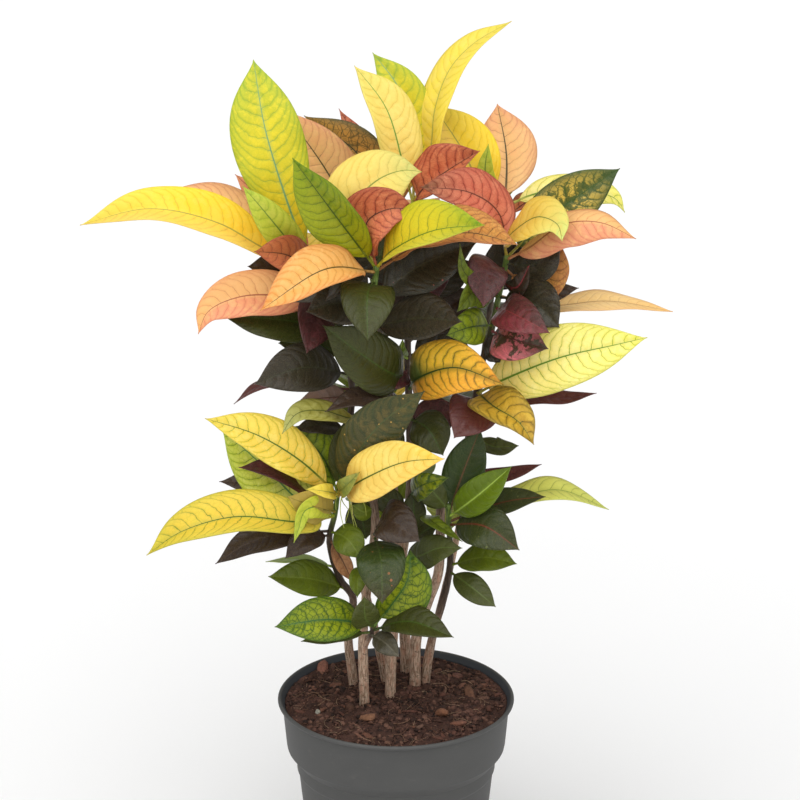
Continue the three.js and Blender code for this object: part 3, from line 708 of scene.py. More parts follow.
@dataclass(frozen=True)
class LeafColours:
    """The colours and markings of one kind of leaf.

    inks holds six colours: foot, heart and tip follow the blade from its petiole, line and rib
    are those of the veins and the midrib, and back is the under side. near tints the lower half
    of the blade and edge its margin. veins, net, blotch, speck and halo say how strongly each
    marking shows, and hold how far up the blade the foot's colour stays.
    """

    INKS = "foot", "heart", "tip", "line", "rib", "back"

    family: Family
    inks: str
    veins: float = 0.5
    net: float = 0.1
    spot: str = "E8D488"
    blotch: float = 0.0
    speck: float = 0.0
    edge: str = ""
    edging: float = 0.0
    near: str = ""
    nearness: float = 0.0
    halo: float = 0.12
    hold: float = 0.0

    def ink(self, part: str) -> np.ndarray:
        """Gives one of the six inks as a linear colour."""
        return np.array(tint(self.inks.split()[self.INKS.index(part)]))


class Look(Enum):
    """The kinds of leaf on the plant."""

    GOLDEN = LeafColours(
        Family.YELLOW, "EDBE48 F2D25C E6CC52 7E9434 3E6420 DFC67C", 0.8, 0.08, "F6E292", 0.45,
        edge="C9B83C", edging=0.45, halo=0.16)
    GOLDEN_GREEN = LeafColours(
        Family.YELLOW, "EBD468 EDCB56 D9C04A 5E7E26 35601C D9C67E", 0.9, 0.12, "C3C046", 0.25,
        edge="A9AC36", edging=0.5, halo=0.24)
    YELLOW_NET = LeafColours(
        Family.YELLOW, "D3DA96 C2C940 AEC03C 4A7418 4A7E50 C3C96E", 1.0, 0.2, "DFE3A0", 0.3,
        edge="8CA428", edging=0.5, halo=0.22)
    LIME = LeafColours(
        Family.YELLOW, "BFC63A B9C23A A8C04A 7E963A 5E8230 C3CA7E", 0.55, 0.12, "D3D468", 0.4)
    LIME_GOLD = LeafColours(
        Family.YELLOW, "EFC41E D0C62C 8FAE38 86A244 6FA088 C9CE72", 0.7, 0.1, "F0DA3C", 0.35,
        edge="94AE32", edging=0.8, halo=0.2)
    LEMON_GOLD = LeafColours(
        Family.YELLOW, "F5B81C F8D636 DCD06E B49A38 A39E56 ECCF84", 0.5, 0.04, "F6DC6A", 0.4,
        near="EFC988", nearness=0.6)
    LEMON = LeafColours(
        Family.YELLOW, "F3CE26 F2DC5C DED260 B8A242 B0B060 EFDA8C", 0.4, 0.04, "F2DC80", 0.5)
    PALE_LEMON = LeafColours(
        Family.YELLOW, "F3DE98 F9EA9C E4E06A 8A9C34 4E7E20 DDD488", 0.95, 0.08, "F5ECBA", 0.45,
        edge="B2BC44", edging=0.45, halo=0.2)
    STRAW = LeafColours(
        Family.YELLOW, "E9C568 ECCF7A CBDA9C B39E54 7E9048 DFCF92", 0.4, 0.05, "EFDC98", 0.4)
    STRAW_GREEN_RIB = LeafColours(
        Family.YELLOW, "EDCA6C EECF7C D6CF78 B9A458 5E9038 E3D294", 0.5, 0.05, "F2DE9A", 0.5,
        edge="CCCB6A", edging=0.4)
    MUSTARD = LeafColours(
        Family.YELLOW, "D6AC48 E0BC56 CBE09C B0923C 5E702E CFD8A0", 0.45, 0.05, "E3C878", 0.4)
    LIME_TIPPED = LeafColours(
        Family.YELLOW, "E8C430 DAC81E 5A920C 7E8A20 4E7218 CB8E68", 0.9, 0.12, "C9C42A", 0.35,
        edge="8CA81C", edging=0.5, near="D6CC62", nearness=0.4, halo=0.2)
    KHAKI = LeafColours(
        Family.YELLOW, "AE9750 A99454 9C8850 7E702F 6A6629 AC9650", 0.9, 0.0)
    GREY_GOLD = LeafColours(
        Family.YELLOW, "D6B456 8E9452 AEA860 78793E 6A753C 9C9A62", 0.4, 0.1, "647A4C", 0.7)
    OLIVE_STRAW = LeafColours(
        Family.YELLOW, "988A30 949046 A8AE7C 6A6A2C 4E5A26 ABAB7E", 0.6, 0.1, "BBBA82", 0.4)
    # PALE_LIME's inks hold painted light: they are lighter than the leaf itself, to make up for the
    # shade on its tilted blade.
    PALE_LIME = LeafColours(
        Family.YELLOW, "CDD276 D6DA80 D0D68A 8C9A4C 8AA056 CBD294", 0.9, 0.08, halo=0.2)
    AMBER = LeafColours(
        Family.YELLOW, "56683C EFC22C E08A2C 4A5212 1B3E0C DDAA50", 1.0, 0.1, "F0BE4A", 0.5,
        edge="C97A28", edging=0.5, near="E89C34", nearness=0.7, halo=0.5, hold=0.24)
    AMBER_GOLD = LeafColours(
        Family.YELLOW, "D0AE40 C8A034 A87C20 4E4A12 2F4E14 CFAC5A", 1.0, 0.12, "DDB94E", 0.5,
        edge="5A4C18", edging=0.85, halo=0.3)
    PEACH_GOLD = LeafColours(
        Family.ORANGE, "EBB266 EDB464 E89E50 B07A38 44421A E09E70", 0.6, 0.06, "F0C27E", 0.5, 0.0,
        "CF6A34", 0.6)
    # APRICOT's inks hold painted light: they are lighter than the leaf itself, to make up for the
    # shade on its down-facing blade.
    APRICOT = LeafColours(
        Family.ORANGE, "FAD89C FBDFA6 F6C880 C4945A AE8258 E3B888", 0.5, 0.05, "F3D08E", 0.5, 0.0,
        "D69870", 0.4)
    APRICOT_GREEN_RIB = LeafColours(
        Family.YELLOW, "EDBE66 F0D078 F0C84E C9A648 35561C E8BC74", 0.6, 0.05, "F3DC92", 0.6,
        near="EDC07C", nearness=0.4)
    PEACH = LeafColours(
        Family.ORANGE, "F2C288 F2C088 E8A47E A8764E 3E3E26 DDA584", 0.6, 0.07, "ECC488", 0.5, 0.0,
        "B9685A", 0.6)
    OCHRE_NET = LeafColours(
        Family.ORANGE, "CC8448 D39444 B87634 6A461E 332414 C68E68", 0.9, 0.3, "DCA856", 0.45, 0.0,
        "9A4C30", 0.6, "CC8264", 0.4, halo=0.2)
    OCHRE_SPOTTED = LeafColours(
        Family.ORANGE, "D89A4E D09A46 B0842F 2C3417 262E12 AC7C62", 1.0, 0.7, "3A4420", 0.25,
        edge="323A1A", edging=0.9, halo=0.3)
    RUST = LeafColours(
        Family.ORANGE, "BE6038 C26A3E BC6A3C 6E301C 522616 B87050", 0.8, 0.12, "CF8450", 0.3, 0.0,
        "983E2A", 0.5, "B05A44", 0.4)
    SALMON = LeafColours(
        Family.ORANGE, "CC6C4C BE5A3A 98482E 6A1E1A 441614 C67660", 1.0, 0.2, "DC8A60", 0.45, 0.0,
        "8E3026", 0.6, "DA866A", 0.3, halo=0.2)
    SALMON_OLIVE = LeafColours(
        Family.ORANGE, "D9826A CC6450 4E4420 7E261E 5E221A CC7E6A", 1.0, 0.15, "DE8E72", 0.4, 0.0,
        "94352A", 0.6, halo=0.2)
    CORAL = LeafColours(
        Family.ORANGE, "DE8264 DE8A6A E09C74 A85A44 904A38 D68A70", 0.55, 0.1, "E6A07E", 0.4)
    CORAL_PEACH = LeafColours(
        Family.ORANGE, "E8AE7A EFBE80 F0BC78 B8724C 9C5840 D88E78", 0.6, 0.05, "EABC84", 0.4, 0.0,
        "C46650", 0.5, "DB8470", 0.8)
    DRIED = LeafColours(
        Family.ORANGE, "8A5A3C A5714C 9A6A44 6A432C 5A3826 9A6A48", 0.5, 0.3, "B98A62", 0.5)
    MAROON = LeafColours(
        Family.DARK, "38141F 3A1620 2C1218 6A3440 4A1E28 40202A", 0.2, 0.5, "4E1E2A", 0.5, 0.1)
    MAROON_PINK = LeafColours(
        Family.DARK, "6A2434 36161C 2A1A18 6E2A36 7A2A38 40202A", 0.5, 0.25, "A8405A", 0.16, 0.3,
        near="7E2A3C", nearness=0.45)
    PINK_MOTTLED = LeafColours(
        Family.DARK, "DC8090 D87888 3A2A22 4A1E26 4A1E26 4A2A30", 0.5, 0.3, "2C2E1C", 0.95, 0.3)
    CRIMSON_DOTS = LeafColours(
        Family.DARK, "1C1412 1A1412 1C1A14 6A1E30 7E2238 301C1E", 0.2, 0.0, "B0304C", 0.0, 1.0)
    NEAR_BLACK = LeafColours(
        Family.DARK, "25211A 221E17 231C17 2E3426 2A3020 2E2020", 0.35, 0.0, "25291C", 0.4)
    BLACK_BROWN = LeafColours(
        Family.DARK, "2C1F1B 291C19 2C1E1A 3C2E2A 3A2A24 33231F", 0.3, 0.0, "33241E", 0.4)
    BLACK_FLECKED = LeafColours(
        Family.DARK, "1B1E16 181B13 1B1915 2E3424 292E1F 2E2020", 0.35, 0.0, "CE8080", 0.0, 0.35)
    PURPLE_BROWN = LeafColours(
        Family.DARK, "54222A 57262C 5A2C2E 36121B 5A2A30 5A3038", 0.25, 0.12, "54262E", 0.5)
    GREY_PINK = LeafColours(
        Family.DARK, "7E5A52 6E544E 7C6660 503A36 5A4440 806E68", 0.6, 0.1, "BE8262", 0.5)
    GREY_DARK = LeafColours(
        Family.DARK, "37382E 32342A 3A3A32 484A3C 55574A 56524A", 0.3, 0.0, "40402F", 0.4)
    DARK_GREEN = LeafColours(
        Family.GREEN, "2C3414 2A3012 282C14 3A4620 344E20 33382A", 0.45, 0.0, "36421A", 0.4, 0.06)
    MID_GREEN = LeafColours(
        Family.GREEN, "55690F 51640F 465812 63782A 6B7E30 55703A", 0.5, 0.0, "66761A", 0.4, 0.08)
    FRESH_GREEN = LeafColours(
        Family.GREEN, "566F0A 526B0A 4A650A 76902A A4C468 74A040", 0.35, 0.0, "68840E", 0.3)
    BRIGHT_GREEN = LeafColours(
        Family.GREEN, "A8AA18 788E0A 64940E 3A5610 2A4E14 8CA440", 0.8, 0.15, "9EA61A", 0.35,
        near="A0A814", nearness=0.45, halo=0.15)
    GREY_GREEN = LeafColours(
        Family.GREEN, "3C4626 3A4424 3C442A 4E5A34 52663C 5A6048", 0.4, 0.0, "46522A", 0.4, 0.08)
    GREY_RED_RIB = LeafColours(
        Family.GREEN, "2A3620 2A3820 2C3222 3E482C 6A2E2C 54483F", 0.4, 0.0, "8C9A70", 0.0, 0.3)
    GREY_SPOTTED = LeafColours(
        Family.GREEN, "262E22 2A3628 283423 3A4634 42503A 464A3C", 0.4, 0.0, "DDB070", 0.06, 0.8)
    PALE_GREEN = LeafColours(
        Family.GREEN, "84A058 90A868 9CAE78 729050 7E9858 A4B288", 0.3, 0.0)
    OLIVE = LeafColours(
        Family.GREEN, "4E6212 546818 4A5C18 2E3E10 384814 5E6A36", 0.6, 0.2, "728424", 0.4)
    OLIVE_NET = LeafColours(
        Family.GREEN, "748C14 80961A 70881A 27440E 2F4C1A 7E9040", 1.0, 0.35, "98AC2C", 0.4,
        edge="2F4A12", edging=0.4, halo=0.35)
    NET_GREEN = LeafColours(
        Family.GREEN, "8E9C2C 929E20 5E7E12 274E10 2C5E3A 8CA24C", 1.0, 0.8, "7E9418", 0.35,
        edge="2C5612", edging=1.0, halo=0.5)
    SPOTTED = LeafColours(
        Family.GREEN, "D2C054 F0CC6C 35542A 2F4A22 35502A 5A6044", 1.0, 0.7, "2F4A22", 0.85, 0.0,
        "2C4822", 1.0, halo=0.75)
    SPOTTED_DARK = LeafColours(
        Family.GREEN, "22381A 243C1C 30442E 364E34 664438 4A523C", 0.4, 0.0, "CFD48A", 0.0, 0.9)
    SPOTTED_GREEN = LeafColours(
        Family.GREEN, "264410 2F5010 264212 325A18 35541A 485838", 0.4, 0.1, "A4B020", 0.35, 0.9)
    BITTEN = LeafColours(
        Family.GREEN, "233414 243816 2C2218 2E4620 334820 3C322A", 0.4, 0.0, "C0705E", 0.0, 0.5)


@dataclass(frozen=True)
class Away:
    """A leaf that leaves its stem towards the back: a direction, a length and how far it droops."""

    azimuth: float
    rise: float
    length: float
    droop: float


@dataclass(frozen=True)
class Leaf:
    """One leaf: its finish, the height of its joint, its size, its turn and its midrib's spots."""

    look: Look
    at: float
    width: float
    roll: float
    fold: float
    run: tuple[Spot, ...] = ()
    away: Away | None = None
    belly: float = BELLY


@dataclass(frozen=True)
class Shoot:
    """A woody shoot: its line, its lowest and highest radius, its leaves and what it grows from."""

    line: tuple[Spot, ...]
    radii: tuple[float, float]
    leaves: tuple[Leaf, ...]
    parent: str = ""


LEFT = Shoot(
    line=((-37, 150, 28), (-38, 207, 30), (-42, 250, 28), (-38, 290, 20), (-48, 305, 13),
          (-58, 343, -2), (-53, 368, -12), (-50, 390, -18)),
    radii=(5.4, 2.2),
    leaves=(
        Leaf(Look.GOLDEN, 386, 43, 20, 18, ((-85, 419, -36), (-120, 441, -46), (-164, 456, -54))),
        Leaf(Look.YELLOW_NET, 372, 56, -8, 15,
             ((-80, 378, -26), (-110, 408, -18), (-150, 447, -10))),
        Leaf(Look.GOLDEN_GREEN, 366, 50, 32, 30,
             ((-82, 360, -46), (-140, 365, -58), (-187, 351, -64), (-218, 329, -66))),
        Leaf(Look.BLACK_BROWN, 352, 30, 30, 10,
             ((-88, 350, -20), (-124, 343, -26), (-158, 321, -30))),
        Leaf(Look.BLACK_BROWN, 348, 24, 10, 10, ((-78, 345, -30), (-97, 326, -40))),
        Leaf(Look.LIME, 366, 20, 0, 8,
             ((-70, 375, -56), (-80, 370, -66), (-85, 354, -70), (-89, 341, -70))),
        Leaf(Look.MAROON, 374, 28, 52, 8, ((-76, 390, -24), (-105, 409, -32), (-136, 411, -36))),
        Leaf(Look.BLACK_BROWN, 380, 34, 30, 8, ((-105, 396, 4), (-153, 398, 8))),
        Leaf(Look.KHAKI, 370, 30, 172, 8, ((-66, 373, -52), (-94, 384, -74))),
        Leaf(Look.LEMON, 386, 15, 25, 20, ((-62, 389, -50), (-78, 391, -60))),
        Leaf(Look.GREY_GOLD, 388, 16, -15, 20, ((-43, 394, -50), (-31, 407, -60))),
        Leaf(Look.APRICOT_GREEN_RIB, 384, 46, -20, 15,
             ((-26, 401, -58), (8, 416, -84), (42, 419, -102))),
        Leaf(Look.GREY_SPOTTED, 390, 46, 0, 8, ((-33, 424, -42), (-12, 452, -60), (25, 481, -70))),
        Leaf(Look.OLIVE_NET, 388, 42, 15, 8, ((-64, 422, -10), (-91, 449, -14))),
        Leaf(Look.DARK_GREEN, 389, 24, 0, 8, ((-46, 425, -22), (-43, 455, -26))),
        Leaf(Look.MID_GREEN, 297, 34, 20, 12, ((-76, 307, -8), (-112, 309, -22))),
        Leaf(Look.PALE_GREEN, 318, 24, 72, 5, ((-85, 325, 24), (-114, 323, 28))),
        Leaf(Look.DRIED, 345, 17, 10, 25, ((-47, 325, -10), (-38, 304, -14))),
        Leaf(Look.MID_GREEN, 352, 28, 0, 10, ((-42, 344, -22), (-30, 326, -30))),
        Leaf(Look.MID_GREEN, 382, 38, 0, 12, away=Away(124, 34, 115, 55)),
    ),
)

FRONT = Shoot(
    line=((-28, 145, -12), (-28, 187, -13), (-29, 250, -12), (-25, 300, -15), (-18, 360, -18),
          (-22, 400, -16), (-25, 455, -18), (-27, 500, -24), (-21, 550, -34), (-16, 593, -42)),
    radii=(5, 2.6),
    leaves=(
        Leaf(Look.BRIGHT_GREEN, 590, 50, -26, 26, ((-50, 636, -64), (-86, 686, -82))),
        Leaf(Look.PEACH_GOLD, 587, 46, 28, 28, ((-60, 589, -88), (-115, 553, -126))),
        Leaf(Look.LIME_TIPPED, 592, 56, -45, 33, ((-2, 606, -64), (32, 623, -88), (75, 628, -110))),
        Leaf(Look.OCHRE_NET, 588, 50, -50, 30, ((20, 611, -40), (60, 621, -62), (103, 611, -84))),
        Leaf(Look.SALMON, 594, 50, -24, 24, ((-24, 630, -52), (-5, 642, -58), (18, 641, -64))),
        Leaf(Look.STRAW, 593, 60, 0, 8,
             ((-34, 634, -44), (-30, 652, -46), (-15, 667, -36), (5, 675, -20), (22, 674, -8)),
             belly=0.42),
        Leaf(Look.DARK_GREEN, 591, 32, 0, 10, ((-6, 618, -26), (14, 640, -22))),
        Leaf(Look.DARK_GREEN, 578, 46, 0, 12, ((-24, 566, -84), (-24, 526, -112))),
        Leaf(Look.NEAR_BLACK, 585, 40, 30, 12, ((-48, 584, -52), (-90, 560, -66))),
        Leaf(Look.BLACK_FLECKED, 562, 52, -18, 12, ((20, 592, -34), (68, 613, -48))),
        Leaf(Look.NEAR_BLACK, 537, 44, -25, 12, ((18, 546, -52), (56, 543, -80))),
        Leaf(Look.OLIVE_STRAW, 452, 24, 42, 10,
             ((-44, 457, -30), (-64, 463, -42), (-85, 460, -52), (-98, 442, -58))),
        Leaf(Look.BITTEN, 347, 42, 0, 6, ((-13, 324, -58), (-12, 283, -78))),
        Leaf(Look.BLACK_BROWN, 355, 38, -15, 10, ((-6, 362, -44), (21, 342, -60))),
        Leaf(Look.MID_GREEN, 318, 16, 0, 8, ((-33, 308, -34), (-34, 289, -42))),
        Leaf(Look.NEAR_BLACK, 556, 40, 15, 10, ((-46, 560, -62), (-76, 552, -84))),
        Leaf(Look.MID_GREEN, 374, 16, 0, 10, ((-28, 370, -24), (-38, 376, -26))),
    ),
)

FRONT_LOW = Shoot(
    line=((-29, 238, -12), (-23, 252, -20), (-18, 265, -28)),
    radii=(2.4, 2),
    parent="front",
    leaves=(
        Leaf(Look.NET_GREEN, 263, 52, 30, 30, ((-3, 284, -34), (10, 306, -38), (13, 334, -38))),
        Leaf(Look.GREY_GREEN, 261, 26, 0, 8, ((-27, 270, -50), (-28, 290, -64))),
        Leaf(Look.DARK_GREEN, 258, 30, -28, 18, ((12, 266, -46), (51, 251, -70))),
        Leaf(Look.NET_GREEN, 262, 41, 10, 15, ((-60, 268, -48), (-107, 261, -66))),
        Leaf(Look.GREY_DARK, 254, 20, 0, 8, ((-10, 246, -40), (3, 232, -50))),
        Leaf(Look.GREY_GREEN, 256, 16, 30, 8, ((-52, 253, -30), (-84, 247, -36))),
    ),
)

INNER_LEFT = Shoot(
    line=((-6, 150, 30), (-9, 208, 32), (-14, 238, 26), (-28, 300, 18), (-36, 380, 8),
          (-40, 440, 2), (-38, 490, 0), (-52, 540, 4), (-70, 590, 8)),
    radii=(5, 2.4),
    leaves=(
        Leaf(Look.LIME_GOLD, 588, 62, -5, 10,
             ((-88, 640, 4), (-108, 710, 8), (-117, 769, 26)), belly=0.58),
        Leaf(Look.LEMON_GOLD, 586, 46, 32, 32,
             ((-112, 608, -8), (-150, 630, -16), (-206, 642, -20), (-265, 628, -20))),
        Leaf(Look.PEACH, 590, 48, 35, 22, ((-110, 620, 26), (-155, 645, 38), (-200, 656, 46))),
        Leaf(Look.CORAL, 591, 34, 0, 10, ((-102, 640, 46), (-134, 672, 60))),
        Leaf(Look.LIME, 590, 30, 0, 18, ((-96, 622, -18), (-114, 645, -24), (-128, 662, -24))),
        Leaf(Look.RUST, 583, 36, 25, 18, ((-92, 602, -28), (-119, 605, -46))),
        Leaf(Look.NEAR_BLACK, 445, 20, 35, 8, ((-66, 450, -14), (-87, 446, -18))),
        Leaf(Look.GREY_PINK, 476, 24, 150, 8, ((-66, 474, -24), (-84, 471, -32))),
        Leaf(Look.PURPLE_BROWN, 482, 24, 66, 8,
             ((-98, 488, -10), (-121, 483, -13), (-139, 469, -14))),
        Leaf(Look.NEAR_BLACK, 496, 43, 8, 10, ((-80, 502, -36), (-121, 487, -54))),
        Leaf(Look.MAROON, 548, 44, 0, 10, ((-68, 545, -40), (-76, 515, -62))),
        Leaf(Look.DARK_GREEN, 537, 42, 15, 18, ((-100, 545, -28), (-147, 548, -42))),
        Leaf(Look.CORAL_PEACH, 560, 44, 20, 20,
             ((-95, 566, -22), (-132, 565, -38), (-159, 552, -48), (-168, 532, -52))),
        Leaf(Look.BLACK_BROWN, 580, 30, 20, 8, ((-98, 590, 0), (-125, 592, -4))),
        Leaf(Look.GOLDEN, 574, 44, 8, 12, away=Away(112, 40, 135, 70)),
        Leaf(Look.OCHRE_NET, 528, 42, -8, 12, away=Away(124, 22, 125, 60)),
        Leaf(Look.MID_GREEN, 444, 40, 8, 12, away=Away(114, 34, 125, 60)),
        Leaf(Look.NEAR_BLACK, 532, 36, 0, 8, ((-44, 562, -8), (-24, 592, -14))),
        Leaf(Look.DARK_GREEN, 512, 36, 20, 8, ((-72, 524, 2), (-100, 524, -2))),
        Leaf(Look.DARK_GREEN, 386, 30, 0, 8, ((-30, 366, 0), (-26, 344, -4))),
    ),
)

MIDDLE = Shoot(
    line=((-5, 148, 4), (-5, 195, 4), (-4, 235, 6), (2, 300, 6), (12, 385, 2), (12, 450, 4),
          (10, 520, 8), (12, 590, 18), (15, 648, 26)),
    radii=(5.6, 2.4),
    leaves=(
        Leaf(Look.STRAW_GREEN_RIB, 646, 46, 26, 24, ((6, 680, 20), (-8, 728, 24), (-34, 764, 34))),
        Leaf(Look.LIME_GOLD, 648, 46, 5, 12, ((14, 700, 46), (3, 744, 58), (-19, 775, 68))),
        Leaf(Look.SALMON, 646, 52, -36, 36, ((24, 660, 14), (45, 676, 8), (70, 692, 0))),
        Leaf(Look.LEMON, 648, 42, -55, 8,
             ((29, 690, 36), (33, 728, 41), (45, 761, 45), (64, 782, 48), (95, 801, 50))),
        Leaf(Look.DARK_GREEN, 494, 50, 12, 8, ((-6, 498, -32), (-32, 516, -50), (-62, 540, -60))),
        Leaf(Look.BLACK_BROWN, 472, 26, 45, 8, ((-12, 474, -36), (-36, 474, -46), (-61, 462, -54))),
        Leaf(Look.AMBER, 482, 50, -12, 12, ((20, 493, -28), (52, 502, -58), (92, 487, -84))),
        Leaf(Look.GREY_GREEN, 325, 28, -15, 8, ((22, 329, -18), (38, 336, -30), (58, 336, -40))),
        Leaf(Look.SPOTTED_GREEN, 385, 24, -20, 8, ((26, 396, -44), (46, 402, -54))),
        Leaf(Look.MAROON, 560, 26, -10, 8, ((32, 578, -8), (48, 590, -14))),
        Leaf(Look.FRESH_GREEN, 510, 12, 0, 8, ((4, 516, -20), (6, 528, -28))),
        Leaf(Look.NEAR_BLACK, 574, 38, 10, 10, ((-14, 598, 14), (-44, 614, 12))),
        Leaf(Look.MAROON, 500, 24, 20, 8, ((0, 493, -14), (-15, 486, -24))),
        Leaf(Look.NEAR_BLACK, 596, 38, -10, 10, ((36, 612, 14), (66, 634, 16))),
        Leaf(Look.BLACK_BROWN, 536, 40, -10, 10, ((38, 552, 14), (64, 572, 18))),
        Leaf(Look.NEAR_BLACK, 512, 38, -15, 10, ((38, 522, 22), (66, 512, 30))),
        Leaf(Look.DARK_GREEN, 430, 28, 10, 10, ((-10, 444, 12), (-26, 460, 18))),
        Leaf(Look.MAROON, 440, 36, -10, 10, ((32, 456, 14), (54, 466, 18))),
        Leaf(Look.DARK_GREEN, 368, 24, 10, 10, ((-4, 378, -4), (-22, 393, 0))),
        Leaf(Look.DARK_GREEN, 350, 22, 0, 10, ((15, 364, -2), (15, 390, -4))),
        Leaf(Look.DARK_GREEN, 456, 36, 0, 10, ((28, 446, -18), (41, 422, -26))),
        Leaf(Look.NEAR_BLACK, 566, 34, -10, 10, ((36, 580, 18), (66, 596, 20))),
        Leaf(Look.BLACK_BROWN, 552, 34, 10, 10, ((-6, 566, 24), (-26, 576, 26))),
        Leaf(Look.NEAR_BLACK, 524, 40, 0, 12, away=Away(62, 14, 105, 45)),
    ),
)

RIGHT = Shoot(
    line=((16, 150, 26), (17, 205, 26), (18, 250, 24), (28, 285, 20), (37, 312, 14), (42, 400, 8),
          (62, 435, 0), (72, 500, -5), (80, 530, -8), (88, 570, -10), (94, 602, -12)),
    radii=(6, 2.4),
    leaves=(
        Leaf(Look.SALMON_OLIVE, 604, 44, 32, 20, ((86, 638, -8), (62, 656, -20), (20, 661, -34))),
        Leaf(Look.MUSTARD, 606, 46, -60, 5,
             ((92, 612, -16), (105, 627, -30), (121, 635, -46), (136, 628, -58), (140, 614, -64))),
        Leaf(Look.SPOTTED, 602, 46, 0, 8, ((125, 632, 8), (155, 655, 12), (187, 677, 16))),
        Leaf(Look.CORAL_PEACH, 598, 41, -38, -28,
             ((112, 608, -26), (142, 629, -42), (172, 630, -50), (202, 616, -54))),
        Leaf(Look.OCHRE_NET, 590, 34, 10, 8, ((115, 573, -8), (132, 589, -12), (139, 613, -14))),
        Leaf(Look.NEAR_BLACK, 594, 34, 0, 8, ((116, 594, -22), (139, 611, -28))),
        Leaf(Look.BLACK_BROWN, 575, 22, -25, 8, ((125, 569, 2), (155, 573, 2))),
        Leaf(Look.APRICOT, 566, 40, -66, 5, ((130, 557, 16), (180, 561, 16), (235, 552, 12))),
        Leaf(Look.NEAR_BLACK, 565, 44, -8, 10, ((116, 560, -34), (139, 538, -50))),
        Leaf(Look.MAROON_PINK, 555, 34, -15, 10, ((98, 551, -54), (131, 533, -80))),
        Leaf(Look.PINK_MOTTLED, 535, 40, -10, 10, ((98, 528, -46), (130, 519, -64))),
        Leaf(Look.MAROON, 590, 36, 0, 10, ((78, 590, -40), (74, 556, -62))),
        Leaf(Look.CRIMSON_DOTS, 578, 16, 0, 10, ((103, 574, -34), (113, 593, -42))),
        Leaf(Look.OLIVE, 570, 13, 0, 10, ((57, 588, -58), (54, 612, -64))),
        Leaf(Look.OLIVE, 565, 30, 0, 10, ((66, 570, -44), (52, 552, -58))),
        Leaf(Look.OLIVE_NET, 540, 32, 0, 10, ((62, 538, -38), (43, 531, -52))),
        Leaf(Look.PALE_LEMON, 478, 56, -8, 10,
             ((90, 490, -28), (140, 511, -52), (185, 522, -64), (214, 529, -68))),
        Leaf(Look.AMBER_GOLD, 480, 45, -30, 28, ((85, 466, -52), (106, 452, -72), (119, 432, -86))),
        Leaf(Look.PURPLE_BROWN, 476, 44, 0, 8, ((66, 462, -42), (50, 438, -60))),
        Leaf(Look.PURPLE_BROWN, 468, 22, -50, 8,
             ((118, 475, -10), (150, 475, -14), (172, 479, -16))),
        Leaf(Look.OLIVE, 366, 17, -15, 12, ((30, 362, -30), (58, 342, -46))),
        Leaf(Look.PURPLE_BROWN, 402, 18, -40, 8, ((90, 403, 20), (126, 414, 24))),
        Leaf(Look.NEAR_BLACK, 508, 24, 0, 10, ((86, 519, -22), (105, 507, -32))),
        Leaf(Look.NEAR_BLACK, 566, 46, 0, 8, ((92, 590, 12), (84, 616, 18))),
        Leaf(Look.DARK_GREEN, 354, 26, 0, 8, ((30, 355, 14), (17, 345, 20))),
    ),
)

FAR_RIGHT = Shoot(
    line=((28, 150, 33), (26, 207, 31), (33, 255, 26), (41, 285, 22), (47, 316, 14), (47, 345, 2),
          (46, 364, -6), (46, 377, -10)),
    radii=(5.6, 2.2),
    leaves=(
        Leaf(Look.SPOTTED_DARK, 368, 36, 0, 8, ((56, 400, -16), (73, 448, -8))),
        Leaf(Look.FRESH_GREEN, 365, 32, 0, 24, ((72, 386, -36), (100, 412, -54))),
        Leaf(Look.PALE_LIME, 362, 34, -52, 10, ((95, 379, 6), (140, 390, 10), (185, 372, 12))),
        Leaf(Look.GREY_RED_RIB, 361, 30, -42, 10, ((95, 379, -14), (130, 384, -22))),
        Leaf(Look.GREY_RED_RIB, 358, 40, -12, 10, ((78, 356, -38), (108, 334, -54))),
        Leaf(Look.GREY_GREEN, 371, 26, 0, 10, ((32, 389, -16), (19, 403, -16))),
        Leaf(Look.MID_GREEN, 320, 28, -24, 10, ((78, 327, -4), (106, 321, -14))),
        Leaf(Look.GREY_GREEN, 314, 24, -10, 10, ((65, 300, -6), (88, 280, -16))),
        Leaf(Look.MID_GREEN, 372, 34, 0, 12, away=Away(74, 16, 115, 45)),
        Leaf(Look.YELLOW_NET, 346, 36, -8, 12, away=Away(92, 20, 110, 50)),
    ),
)

FAR_RIGHT_HIGH = Shoot(
    line=((37, 270, 24), (52, 340, 38), (66, 430, 50), (78, 540, 50), (92, 647, 46)),
    radii=(3.2, 2.2),
    parent="far_right",
    leaves=(
        Leaf(Look.LEMON_GOLD, 642, 58, 0, 8, ((74, 656, 48), (56, 692, 60), (30, 732, 76))),
        Leaf(Look.LIME, 646, 15, 0, 10, ((75, 672, 34), (77, 698, 30))),
        Leaf(Look.PEACH, 648, 54, 0, 8, ((92, 690, 80), (84, 732, 100))),
        Leaf(Look.PALE_LEMON, 645, 36, -42, 12,
             ((122, 656, 46), (160, 657, 46), (183, 651, 45), (192, 639, 44))),
        Leaf(Look.GREY_GREEN, 440, 22, -44, 8, ((84, 430, 34), (106, 431, 38))),
        Leaf(Look.LIME_GOLD, 640, 48, 6, 12, away=Away(98, 44, 145, 70)),
        Leaf(Look.SALMON, 632, 42, -10, 12, away=Away(46, 26, 125, 60)),
        Leaf(Look.OCHRE_NET, 606, 44, 8, 12, away=Away(82, 16, 140, 60)),
        Leaf(Look.NEAR_BLACK, 566, 42, -8, 12, away=Away(60, 28, 130, 65)),
        Leaf(Look.DARK_GREEN, 540, 42, 8, 12, away=Away(92, 10, 130, 50)),
        Leaf(Look.GREY_GREEN, 440, 38, 0, 12, away=Away(104, 30, 120, 60)),
    ),
)

